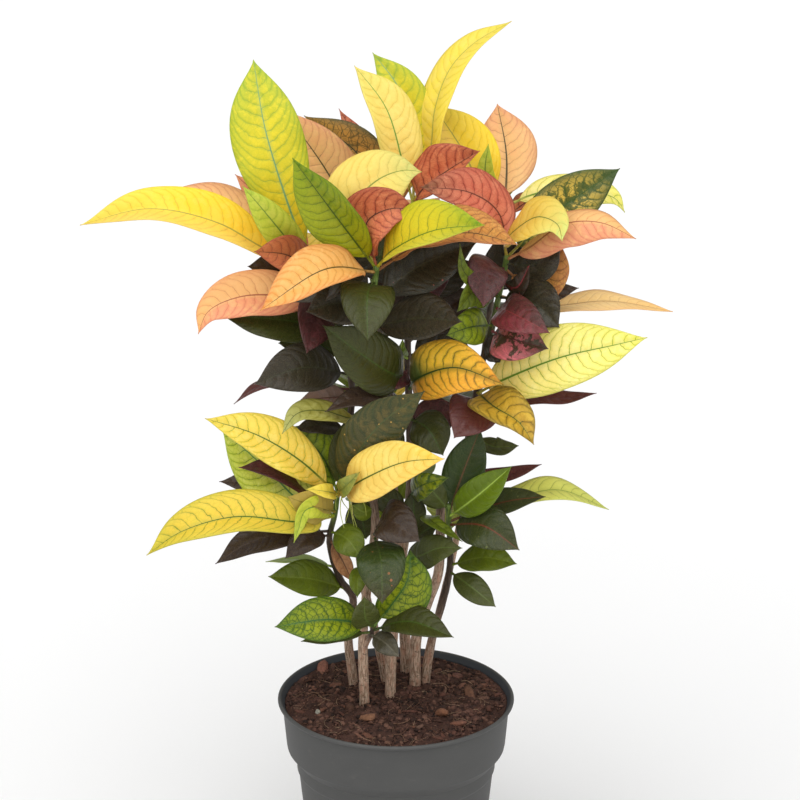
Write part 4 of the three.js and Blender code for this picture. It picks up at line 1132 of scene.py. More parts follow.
BACK = Shoot(
    line=((9, 165, 58), (9, 220, 59), (8, 250, 62), (2, 350, 72), (-8, 450, 82), (-14, 540, 86),
          (-24, 612, 84)),
    radii=(6, 2.4),
    leaves=(
        Leaf(Look.PEACH, 608, 56, 0, 10, ((-44, 650, 72), (-62, 682, 68), (-94, 728, 74))),
        Leaf(Look.OCHRE_SPOTTED, 612, 44, 0, 10,
             ((-16, 660, 100), (-32, 690, 108), (-76, 722, 118))),
        Leaf(Look.SALMON, 612, 28, 0, 10, ((-28, 690, 140), (-47, 728, 160))),
        Leaf(Look.OCHRE_NET, 612, 30, 0, 10, ((10, 690, 96), (30, 745, 112))),
        Leaf(Look.LIME_GOLD, 606, 50, 5, 12, away=Away(100, 52, 150, 70)),
        Leaf(Look.PEACH, 602, 46, -10, 12, away=Away(58, 38, 150, 75)),
        Leaf(Look.GOLDEN, 598, 46, 10, 12, away=Away(140, 36, 145, 70)),
        Leaf(Look.SALMON, 590, 44, 8, 12, away=Away(84, 14, 145, 60)),
        Leaf(Look.MAROON, 584, 44, -8, 12, away=Away(116, 2, 140, 45)),
        Leaf(Look.NEAR_BLACK, 552, 46, 12, 12, away=Away(66, 30, 140, 70)),
        Leaf(Look.YELLOW_NET, 546, 42, -10, 12, away=Away(128, 26, 135, 65)),
        Leaf(Look.DARK_GREEN, 520, 44, 6, 12, away=Away(98, 8, 140, 55)),
        Leaf(Look.GOLDEN, 462, 42, -12, 12, away=Away(62, 40, 135, 70)),
        Leaf(Look.MID_GREEN, 456, 42, 10, 12, away=Away(124, 34, 130, 65)),
        Leaf(Look.YELLOW_NET, 436, 42, 0, 12, away=Away(94, 12, 130, 50)),
        Leaf(Look.MID_GREEN, 372, 38, 10, 12, away=Away(72, 36, 120, 60)),
        Leaf(Look.NET_GREEN, 350, 36, -10, 12, away=Away(118, 28, 115, 55)),
    ),
)

SHOOTS: dict[str, Shoot] = {
    "left": LEFT, "front": FRONT, "front_low": FRONT_LOW, "inner_left": INNER_LEFT,
    "middle": MIDDLE, "right": RIGHT, "far_right": FAR_RIGHT, "far_right_high": FAR_RIGHT_HIGH,
    "back": BACK,
}


def placed(spots: tuple[Spot, ...]) -> np.ndarray:
    """Turns measured spots into points in millimetres.

    Args:
        spots: Where each is seen on the upright plane through the pot's axis, and its depth.

    Returns:
        One row for each point.
    """
    seen = np.array(spots, float)
    reach = 1 - seen[:, 2] / EYE[1]
    across = EYE[0] + (seen[:, 0] - EYE[0]) * reach
    height = EYE[2] + (seen[:, 1] - EYE[2]) * reach
    return np.stack([across, seen[:, 2], height], axis=1)


def unit(rows: np.ndarray) -> np.ndarray:
    """Scales each row to a length of one."""
    return rows / np.linalg.norm(rows, axis=-1, keepdims=True)


class SmoothLine:
    """A centripetal curve through points, measured by shares of its length."""

    STEPS = np.linspace(0.0, 1.0, 201)
    NUDGE = 1e-4
    HALVINGS = 24
    LAST_JOINT = 0.995

    def __init__(self, points: np.ndarray) -> None:
        """Keeps the points with one more at either end and measures the curve.

        Args:
            points: One row for each point, in millimetres.
        """
        self.count = len(points)
        self.points = np.vstack([2 * points[0] - points[1], points, 2 * points[-1] - points[-2]])
        chords = np.linalg.norm(np.diff(self._raw(self.STEPS), axis=0), axis=1)
        self.lengths = np.concatenate([[0.0], np.cumsum(chords)])
        self.length = float(self.lengths[-1])

    def _raw(self, t: np.ndarray) -> np.ndarray:
        """Gives the curve's points at the curve's own parameter.

        Args:
            t: The parameter, from 0 to 1.

        Returns:
            One row for each point.
        """
        place = (self.count - 1) * np.clip(t, 0.0, 1.0)
        first = np.minimum(place.astype(int), self.count - 2)
        w = (place - first)[:, None]
        p0, p1, p2, p3 = (self.points[first + k] for k in range(4))
        pairs = (p0, p1), (p1, p2), (p2, p3)
        d0, d1, d2 = (np.sqrt(np.linalg.norm(b - a, axis=1))[:, None] for a, b in pairs)
        t1 = ((p1 - p0) / d0 - (p2 - p0) / (d0 + d1) + (p2 - p1) / d1) * d1
        t2 = ((p2 - p1) / d1 - (p3 - p1) / (d1 + d2) + (p3 - p2) / d2) * d1
        square = -3 * p1 + 3 * p2 - 2 * t1 - t2
        cube = 2 * p1 - 2 * p2 + t1 + t2
        return p1 + t1 * w + square * w**2 + cube * w**3

    def _parameter(self, share: np.ndarray) -> np.ndarray:
        """Turns shares of the length into the curve's own parameter."""
        return np.interp(np.asarray(share, float) * self.length, self.lengths, self.STEPS)

    def at(self, share: np.ndarray) -> np.ndarray:
        """Gives the points at shares of the length."""
        return self._raw(np.atleast_1d(self._parameter(share)))

    def heading(self, share: np.ndarray) -> np.ndarray:
        """Gives the directions at shares of the length.

        Args:
            share: The shares.

        Returns:
            One row of length one for each.
        """
        t = np.atleast_1d(self._parameter(share))
        after, before = np.minimum(t + self.NUDGE, 1.0), np.maximum(t - self.NUDGE, 0.0)
        return unit(self._raw(after) - self._raw(before))

    def joint(self, height: float) -> np.ndarray:
        """Gives the point that is seen at a height on the plane through the pot's axis.

        Args:
            height: The height that is seen.

        Returns:
            The point on the curve.
        """
        low, high = 0.0, 1.0
        for _ in range(self.HALVINGS):
            middle = (low + high) / 2
            point = self.at(middle)[0]
            seen = EYE[2] + (point[2] - EYE[2]) / (1 - point[1] / EYE[1])
            low, high = (middle, high) if seen < height else (low, middle)
        return self.at(min(low, self.LAST_JOINT))[0]


def blade_share(u: np.ndarray, belly: float) -> np.ndarray:
    """Gives the half width of a blade as a share of its widest, which it has at its belly.

    Args:
        u: Shares along the blade.
        belly: Where it is widest.

    Returns:
        The half widths.
    """
    bent = np.minimum(u, 0.9999) ** (math.log(0.5) / math.log(belly))
    swell = np.sin(np.pi * bent)
    return swell ** (FULLNESS + TIP_DRAW * u**4)


def finished(bm: bmesh.types.BMesh, name: str) -> bpy.types.Mesh:
    """Writes a bmesh into a new mesh and frees it.

    Args:
        bm: The bmesh.
        name: The mesh's name.

    Returns:
        The mesh.
    """
    mesh = bpy.data.meshes.new(name)
    bm.to_mesh(mesh)
    bm.free()
    return mesh


def points_of(mesh: bpy.types.Mesh) -> np.ndarray:
    """Reads the points of a mesh, one row for each.

    Args:
        mesh: The mesh.

    Returns:
        The points.
    """
    flat = np.zeros(len(mesh.vertices) * 3)
    mesh.vertices.foreach_get("co", flat)
    return flat.reshape(-1, 3)


def shown(name: str, data: bpy.types.ID) -> bpy.types.Object:
    """Puts a mesh, a lamp or a camera into the scene.

    Args:
        name: The object's name.
        data: What it shows.

    Returns:
        The object.
    """
    made = bpy.data.objects.new(name, data)
    bpy.context.scene.collection.objects.link(made)
    return made


def spun(outline: list[tuple[float, float]], sides: int, scale: float = 1.0) -> bmesh.types.BMesh:
    """Turns an outline round the pot's axis into a closed solid.

    Args:
        outline: The radius and the height of each corner, from the axis to the axis.
        sides: Faces round the axis.
        scale: What the outline's millimetres are multiplied by.

    Returns:
        The solid.
    """
    bm = bmesh.new()
    ring = [bm.verts.new((r * scale, 0.0, z * scale)) for r, z in outline]
    edges = [bm.edges.new(pair) for pair in zip(ring, ring[1:])]
    bmesh.ops.spin(
        bm, geom=ring + edges, cent=(0, 0, 0), axis=(0, 0, 1), dvec=(0, 0, 0),
        angle=2 * math.pi, steps=sides, use_merge=True,
    )
    bmesh.ops.remove_doubles(bm, verts=bm.verts[:], dist=WELD * scale)
    bmesh.ops.recalc_face_normals(bm, faces=bm.faces[:])
    return bm


class Blank:
    """A plain mesh that is copied and bent many times, kept as its points."""

    def __init__(self, bm: bmesh.types.BMesh, name: str) -> None:
        """Keeps a finished bmesh as mesh data and frees it.

        Args:
            bm: The bmesh.
            name: The mesh's name.
        """
        bmesh.ops.recalc_face_normals(bm, faces=bm.faces[:])
        self.mesh = finished(bm, name)
        self.points = points_of(self.mesh)

    @classmethod
    def slab(cls, stations: int, lanes: int) -> Blank:
        """Makes a flat slab for leaf blades, from -0.5 to 0.5 both ways and above or below 0.

        Args:
            stations: Faces along the blade.
            lanes: Faces across the blade.

        Returns:
            The blank.
        """
        bm = bmesh.new()
        bmesh.ops.create_grid(bm, x_segments=stations, y_segments=lanes, size=0.5)
        bmesh.ops.translate(bm, vec=(0.0, 0.0, 0.5), verts=bm.verts[:])
        bmesh.ops.solidify(bm, geom=bm.faces[:], thickness=1.0)
        middle = sum(v.co.z for v in bm.verts) / len(bm.verts)
        bmesh.ops.translate(bm, vec=(0.0, 0.0, -middle), verts=bm.verts[:])
        return cls(bm, "blade_blank")

    @classmethod
    def rod(cls, stations: int, sides: int) -> Blank:
        """Makes an upright rod of radius 1, with one ring at each whole height.

        Args:
            stations: Faces along the rod.
            sides: Faces round the rod.

        Returns:
            The blank.
        """
        bm = bmesh.new()
        bmesh.ops.create_circle(bm, cap_ends=True, segments=sides, radius=1.0)
        face = bm.faces[:][0]
        for _ in range(stations):
            grown = bmesh.ops.extrude_face_region(bm, geom=[face])["geom"]
            face = next(g for g in grown if isinstance(g, bmesh.types.BMFace))
            bmesh.ops.translate(bm, vec=(0.0, 0.0, 1.0), verts=face.verts[:])
        return cls(bm, "rod_blank")

    @classmethod
    def ball(cls, fine: bool) -> Blank:
        """Makes a ball of radius 1 for lumps.

        Args:
            fine: Whether it has 80 faces and not 24.

        Returns:
            The blank.
        """
        bm = bmesh.new()
        if fine:
            bmesh.ops.create_icosphere(bm, subdivisions=2, radius=1.0)
        else:
            bmesh.ops.create_cube(bm, size=1.4)
            bmesh.ops.subdivide_edges(bm, edges=bm.edges[:], cuts=1, use_grid_fill=True)
            for v in bm.verts:
                v.co = v.co.normalized()
        return cls(bm, "lump_blank")


@dataclass
class Bent:
    """One bent copy of a blank: its points in millimetres and its attributes by name."""

    blank: Blank
    points: np.ndarray
    traits: dict[str, np.ndarray]


ATTRIBUTES = {
    "place": ("FLOAT_VECTOR", "vector"),
    "share": ("FLOAT_VECTOR", "vector"),
    "ground": ("FLOAT_COLOR", "color"),
    "lines": ("FLOAT_COLOR", "color"),
    "spots": ("FLOAT_COLOR", "color"),
    "marks": ("FLOAT_COLOR", "color"),
    "tone": ("FLOAT_COLOR", "color"),
    "inside": ("FLOAT", "value"),
    "worn": ("FLOAT", "value"),
}


def set_attribute(mesh: bpy.types.Mesh, name: str, values: np.ndarray) -> None:
    """Writes one value for each point of a mesh, under a name that the materials read.

    Args:
        mesh: The mesh.
        name: One of ATTRIBUTES.
        values: One row or number for each point.
    """
    kind, part = ATTRIBUTES[name]
    made = mesh.attributes.new(name, kind, "POINT")
    made.data.foreach_set(part, np.asarray(values, np.float32).ravel())


def smooth(mesh: bpy.types.Mesh) -> None:
    """Shades all faces of a mesh smooth."""
    mesh.polygons.foreach_set("use_smooth", np.ones(len(mesh.polygons), bool))


def new_piece(mesh: bpy.types.Mesh, material: bpy.types.Material) -> bpy.types.Object:
    """Puts a finished mesh into the scene, riding on the part's one body.

    Args:
        mesh: The mesh, in metres and in place; its name becomes the piece's name.
        material: Its finish.

    Returns:
        The piece.
    """
    mesh.materials.clear()
    mesh.materials.append(material)
    smooth(mesh)
    piece = shown(mesh.name, mesh)
    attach(piece, "root")
    LOG.info("%s: %d faces", piece.name, len(mesh.polygons))
    return piece


def joined(name: str, parts: list[Bent]) -> bpy.types.Mesh:
    """Joins bent copies into one mesh in metres, with all their attributes.

    Args:
        name: The mesh's name.
        parts: The bent copies.

    Returns:
        The mesh.
    """
    bm = bmesh.new()
    for part in parts:
        bm.from_mesh(part.blank.mesh)
    mesh = finished(bm, name)
    points = np.vstack([part.points for part in parts]) * MM
    mesh.vertices.foreach_set("co", points.astype(np.float32).ravel())
    for trait in parts[0].traits:
        set_attribute(mesh, trait, np.vstack([part.traits[trait] for part in parts]))
    mesh.update()
    return mesh


def rod_place(share: np.ndarray, length: float, ring: np.ndarray) -> np.ndarray:
    """Gives where each point of a thin rod lies in the leaf patterns, in centimetres.

    Args:
        share: The point's share of the rod's length.
        length: The rod's length in millimetres.
        ring: The points of its blank.

    Returns:
        One row for each point.
    """
    return np.stack([share * length / CM, ring[:, 0] * 0.1, ring[:, 1] * 0.1], axis=1)


@dataclass
class LeafMaker:
    """Bends blanks into leaves and colours them.

    A blade loses the share thinning of its thickness towards the margin and ripples by wave
    where it is broad. crease rounds the fold along its midrib, bulge swells its two halves, and
    ends are its least half widths. Along it, the heart's colour is reached at heart_at, and the
    tip's comes in from tip_from over the share tip_over. Lengths are in millimetres.
    """

    TURNS = 12
    RIB_END = 0.985
    RIB_RADII = (0, 0.06, PETIOLE_SHARE, 0.5, 1), (1.5, 1.2, 1.15, 0.75, 0.2)
    RIB_SUNK = (0, PETIOLE_SHARE, 0.2, 1), (0, 0.1, 0.62, 0.6)
    UNDER_MARKS = (0.8, 0.5, 0.1, 0.1)
    RIB_MARKS = (0.0, 0.0, 0.3, 0.0)

    thickness: float = 0.75
    thinning: float = 0.35
    wave: float = 1.5
    broad: float = 46.0
    crease: float = 0.012
    bulge: float = 0.06
    ends: tuple[float, float] = (1.1, 0.25)
    heart_at: float = 0.42
    tip_from: float = 0.55
    tip_over: float = 0.4
    blade: Blank = field(default_factory=lambda: Blank.slab(44, 12))
    rib: Blank = field(default_factory=lambda: Blank.rod(26, 8))

    def midrib(self, joint: np.ndarray, leaf: Leaf) -> SmoothLine:
        """Draws a leaf's midrib from its joint, through its spots or away from the viewer.

        Args:
            joint: The point on the stem's line.
            leaf: The leaf.

        Returns:
            The midrib, petiole included.
        """
        if leaf.away is None:
            spots = placed(leaf.run)
            root = joint + unit(spots[0] - joint) * ROOT_OFFSET
            return SmoothLine(np.vstack([root, spots]))
        turn, rise = math.radians(leaf.away.azimuth), math.radians(leaf.away.rise)
        heading = np.array(
            (math.cos(rise) * math.cos(turn), math.cos(rise) * math.sin(turn), math.sin(rise))
        )
        shares = np.array((0.0, 0.35, 0.7, 1.0))[:, None]
        points = joint + heading * leaf.away.length * shares
        points[:, 2:] -= leaf.away.droop * shares**2
        return SmoothLine(points)

    def face(self, leaf: Leaf, midrib: SmoothLine) -> np.ndarray:
        """Gives the direction that a leaf's upper side faces at its middle.

        Args:
            leaf: The leaf.
            midrib: Its midrib.

        Returns:
            The direction.
        """
        along = midrib.heading(0.5)[0]
        towards = EYE - midrib.at(0.5)[0] if leaf.away is None else np.array((0.0, 0.0, 1.0))
        level = Vector(unit(towards - along * towards.dot(along)))
        return np.array(Quaternion(Vector(along), math.radians(leaf.roll)) @ level)

    def sections(
        self, leaf: Leaf, midrib: SmoothLine, share: np.ndarray
    ) -> tuple[np.ndarray, np.ndarray, np.ndarray]:
        """Measures the cross sections of a leaf, turned along with its midrib from the middle.

        Args:
            leaf: The leaf.
            midrib: Its midrib.
            share: Shares of the midrib's length.

        Returns:
            The midrib's points and the upward and sideways directions there.
        """
        stations, station = np.unique(np.round(share, 7), return_inverse=True)
        up = np.broadcast_to(self.face(leaf, midrib), (len(stations), 3))
        for i in range(self.TURNS):
            along = midrib.heading(0.5 + (stations - 0.5) * (i + 1) / self.TURNS)
            up = unit(up - along * np.sum(along * up, axis=1)[:, None])
        side = np.cross(midrib.heading(stations), up)
        return midrib.at(stations)[station], up[station], side[station]

    def blade_of(self, leaf: Leaf, midrib: SmoothLine, chance: random.Random) -> Bent:
        """Bends and colours the blade of a leaf.

        Args:
            leaf: The leaf.
            midrib: Its midrib.
            chance: Its own source of small differences.

        Returns:
            The bent blade.
        """
        lengthwise = self.blade.points[:, 0] + 0.5
        u = np.clip(lengthwise - np.sin(2 * np.pi * lengthwise) * 0.055, 0.0, 1.0)
        hand = -2 * self.blade.points[:, 1]
        over = np.sign(self.blade.points[:, 2])
        share = PETIOLE_SHARE + (1 - PETIOLE_SHARE) * u
        middle, up, side = self.sections(leaf, midrib, share)
        half = 0.5 * leaf.width * blade_share(u, leaf.belly)
        half = np.maximum(half, np.interp(u, (0.0, 1.0), self.ends))
        keel = math.radians(leaf.fold) * np.clip(0.35 + u * 4, 0.0, 1.0)
        out = np.abs(hand)
        lift = np.sqrt(out**2 + self.crease) - math.sqrt(self.crease)
        lift = lift * half * np.sin(keel)
        phase, other = chance.uniform(0, 6.3), chance.uniform(0, 6.3)
        turns = chance.uniform(1.6, 2.6)
        ripple = np.sin(2 * np.pi * turns * u + np.where(hand > 0, phase, other))
        ripple *= self.wave * min(1.0, leaf.width / self.broad) * out**2 * np.sin(np.pi * u)
        bulge = self.bulge * half * np.sin(np.pi * out)
        spread = hand * half * np.cos(keel)
        middle = middle + side * spread[:, None] + up * (lift + ripple + bulge)[:, None]
        normal = up * np.cos(keel)[:, None] - side * (np.sign(hand) * np.sin(keel))[:, None]
        thin = 0.5 * self.thickness * (1 - self.thinning * out)
        points = middle + normal * (over * thin)[:, None]
        seed = chance.uniform(0, 40)
        lengths = u * midrib.length * (1 - PETIOLE_SHARE) / CM
        place = np.stack([lengths, hand * half / CM, np.full_like(u, seed)], axis=1)
        shares = np.stack([u, out, (over > 0).astype(float)], axis=1)
        return Bent(self.blade, points, {
            "place": place, "share": shares, **self.colours(leaf.look.value, u, hand, over, side),
        })

    def colours(
        self, look: LeafColours, u: np.ndarray, hand: np.ndarray, over: np.ndarray,
        side: np.ndarray,
    ) -> dict[str, np.ndarray]:
        """Lays a leaf's colours along and across its blade.

        Args:
            look: The leaf's colours.
            u: Shares along the blade.
            hand: Shares across it, from -1 to 1.
            over: 1 on the upper side and -1 on the under side.
            side: The direction across the blade at each point.

        Returns:
            The colour attributes by name.
        """
        foot, heart, tip, line, rib, back = (look.ink(part) for part in look.INKS)
        first = np.clip((u - look.hold) / (self.heart_at - look.hold), 0, 1)[:, None]
        last = np.clip((u - self.tip_from) / self.tip_over, 0, 1)[:, None] ** 1.4
        ground = foot + (heart - foot) * first
        ground = ground + (tip - ground) * last
        out = np.abs(hand)[:, None]
        if look.edge:
            ground = ground + (np.array(tint(look.edge)) - ground) * out**3 * look.edging
        if look.near:
            low = np.where(hand * np.sign(side[:, 2] + 1e-6) < 0, 1.0, 0.0)[:, None]
            low = low * np.clip(out * 6, 0, 1) * look.nearness
            ground = ground + (np.array(tint(look.near)) - ground) * low
        spots = np.broadcast_to(tint(look.spot), ground.shape)
        if look.hold:
            spots = ground + (spots - ground) * first
        under = (over < 0)[:, None]
        ground = np.where(under, back, ground)
        ribbed = np.clip(1 - out * 7, 0, 1)
        lines = line * (1 - ribbed) + rib * ribbed
        marks = np.array((look.veins, look.net, look.blotch, look.speck))
        lines = np.where(under, (lines + 2 * back) / 3, lines)
        lines[:, 3] = look.halo
        return {
            "ground": ground,
            "lines": lines,
            "spots": spots,
            "marks": np.where(under, marks * self.UNDER_MARKS, marks),
        }

    def rib_of(self, leaf: Leaf, midrib: SmoothLine) -> Bent:
        """Bends and colours the petiole and the raised midrib that goes on under the blade.

        Args:
            leaf: The leaf.
            midrib: Its midrib.

        Returns:
            The bent rod.
        """
        ring = self.rib.points
        share = ring[:, 2] / ring[:, 2].max() * self.RIB_END
        middle, up, side = self.sections(leaf, midrib, share)
        radius = np.interp(share, *self.RIB_RADII)
        sunk = np.interp(share, *self.RIB_SUNK) * radius
        across, upright = (ring[:, 0] * radius)[:, None], (ring[:, 1] * radius)[:, None]
        points = middle - up * sunk[:, None] - side * across + up * upright
        count = len(points)
        look = leaf.look.value
        colour = look.ink("rib") * 0.6 + look.ink("foot") * 0.4
        colours = np.broadcast_to(colour, (count, 4))
        place = rod_place(share, midrib.length, ring)
        shares = np.stack([share, np.full(count, 0.5), np.zeros(count)], axis=1)
        return Bent(self.rib, points, {
            "place": place, "share": shares, "ground": colours, "lines": colours,
            "spots": np.broadcast_to(look.ink("line"), (count, 4)),
            "marks": np.broadcast_to(self.RIB_MARKS, (count, 4)),
        })


@dataclass
class LeafyStem:
    """One stem that stands in the peat, with its side shoot, its bark and its leaves.

    group_size leaves of one colour family make a piece. The bark has a ring every bark_step and
    ridges as high as the share ridge of its radius. Its leaf scars are scar high, scar_step
    apart, and fade out with the square of the distance over scar_width. All in millimetres.
    """

    name: str
    shoots: dict[str, Shoot]
    maker: LeafMaker
    group_size: int = 3
    bark_step: float = 4.5
    bark_sides: int = 18
    least_rings: int = 6
    ridge: float = 0.10
    scar: float = 0.32
    scar_step: float = 21.0
    scar_width: float = 5.0

    def bark_of(self, shoot: Shoot, seed: float) -> Bent:
        """Bends a rod along a shoot, with leaf scars and ridges.

        Args:
            shoot: The shoot.
            seed: Where its ridges start in the noise.

        Returns:
            The bent rod.
        """
        line = SmoothLine(placed(shoot.line))
        rings = max(self.least_rings, math.ceil(line.length / self.bark_step))
        blank = Blank.rod(rings, self.bark_sides)
        ring = blank.points
        share = ring[:, 2] / rings
        stations = np.arange(rings + 1) / rings
        sides = []
        side = np.array((1.0, 0.0, 0.0))
        for along in line.heading(stations):
            side = unit(side - along * side.dot(along))
            sides.append(side)
        station = np.rint(ring[:, 2]).astype(int)
        along, side = line.heading(share), np.array(sides)[station]
        other = np.cross(along, side)
        low, high = shoot.radii
        radius = low + (high - low) * share**0.7
        turn = np.arctan2(ring[:, 1], ring[:, 0])
        length = share * line.length
        ridge = np.array([
            noise.noise(Vector((math.cos(t) * 2.2, math.sin(t) * 2.2 + seed, far * 0.022)))
            for t, far in zip(turn, length)
        ])
        past = (length + seed * 7) % self.scar_step - self.scar_step / 2
        scar = np.exp(-(past**2) / self.scar_width) * (0.6 + 0.4 * np.sin(turn + seed))
        radius = radius * (1 + self.ridge * ridge) + self.scar * scar * (0.4 + 0.6 * share)
        swell = (np.cos(turn) * radius)[:, None], (np.sin(turn) * radius)[:, None]
        points = line.at(share) + side * swell[0] + other * swell[1]
        place = np.stack([length / CM, np.abs(turn) / 2, np.full(len(turn), seed)], axis=1)
        shares = np.stack([share, np.zeros(len(turn)), np.ones(len(turn))], axis=1)
        return Bent(blank, points, {"place": place, "share": shares})

    def build(self, skins: dict[Family, bpy.types.Material], bark: bpy.types.Material) -> None:
        """Builds the stem's bark and its leaves, grouped by colour family.

        Args:
            skins: The leaf skin of each family.
            bark: The bark.
        """
        node = f"stem_{self.name}"
        rods = [
            self.bark_of(shoot, 3.1 * i + len(self.name))
            for i, shoot in enumerate(self.shoots.values())
        ]
        wood = new_piece(joined(f"bark_{self.name}", rods), bark)
        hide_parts(node)
        grouped: dict[Family, list[Bent]] = {family: [] for family in Family}
        for name, shoot in self.shoots.items():
            line = SmoothLine(placed(shoot.line))
            for number, leaf in enumerate(shoot.leaves):
                midrib = self.maker.midrib(line.joint(leaf.at), leaf)
                chance = random.Random(f"{name} {number}")
                parts = grouped[leaf.look.value.family]
                parts.append(self.maker.blade_of(leaf, midrib, chance))
                parts.append(self.maker.rib_of(leaf, midrib))
        size = 2 * self.group_size  # a blade and a midrib for each leaf
        for family, parts in grouped.items():
            for first in range(0, len(parts), size):
                label = f"leaves_{self.name}_{family.name.lower()}_{first // size + 1}"
                some = joined(label, parts[first : first + size])
                piece = new_piece(some, skins[family])
                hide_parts(node)


@dataclass
class OldFlowerStalks:
    """The thin pale stalks that hang at the top of the left stem, where it has flowered."""

    root: Spot = (-44, 389, -22)
    count: int = 9
    reach: float = 17.0
    drop: float = 36.0
    radius: float = 0.5
    tones: tuple[str, ...] = ("A9B56A", "96A85A", "B9B884")
    seed: int = 12
    blank: Blank = field(default_factory=lambda: Blank.rod(16, 6))

    def stalk(self, chance: random.Random) -> Bent:
        """Bends one stalk, thin and curled at its end.

        Args:
            chance: Its source of small differences.

        Returns:
            The bent rod.
        """
        x, z, depth = self.root
        aside = chance.uniform(-0.5, 1.0) * self.reach
        down = self.drop * chance.uniform(0.45, 1.0)
        near = chance.uniform(-9, 5)
        curl = chance.uniform(-5, 5)
        line = SmoothLine(placed((
            (x, z, depth), (x + aside * 0.45, z + 2 - down * 0.1, depth + near * 0.4),
            (x + aside, z - down * 0.5, depth + near), (x + aside + curl, z - down, depth + near),
        )))
        ring = self.blank.points
        share = ring[:, 2] / ring[:, 2].max()
        along = line.heading(share)
        side = unit(np.cross(along, (0.0, 1.0, 0.0)))
        up = np.cross(side, along)
        radius = self.radius * (1.15 - 0.6 * share)[:, None]
        points = line.at(share) + (side * ring[:, :1] + up * ring[:, 1:2]) * radius
        count = len(points)
        place = rod_place(share, line.length, ring)
        pale = np.broadcast_to(tint(chance.choice(self.tones)), (count, 4))
        return Bent(self.blank, points, {
            "place": place, "share": np.full((count, 3), 0.5), "ground": pale, "lines": pale,
            "spots": pale, "marks": np.zeros((count, 4)),
        })

    def build(self, skin: bpy.types.Material) -> None:
        """Builds the tuft of stalks.

        Args:
            skin: The green leaf skin.
        """
        chance = random.Random(self.seed)
        stalks = [self.stalk(chance) for _ in range(self.count)]
        new_piece(joined("old_flower_stalks", stalks), skin)


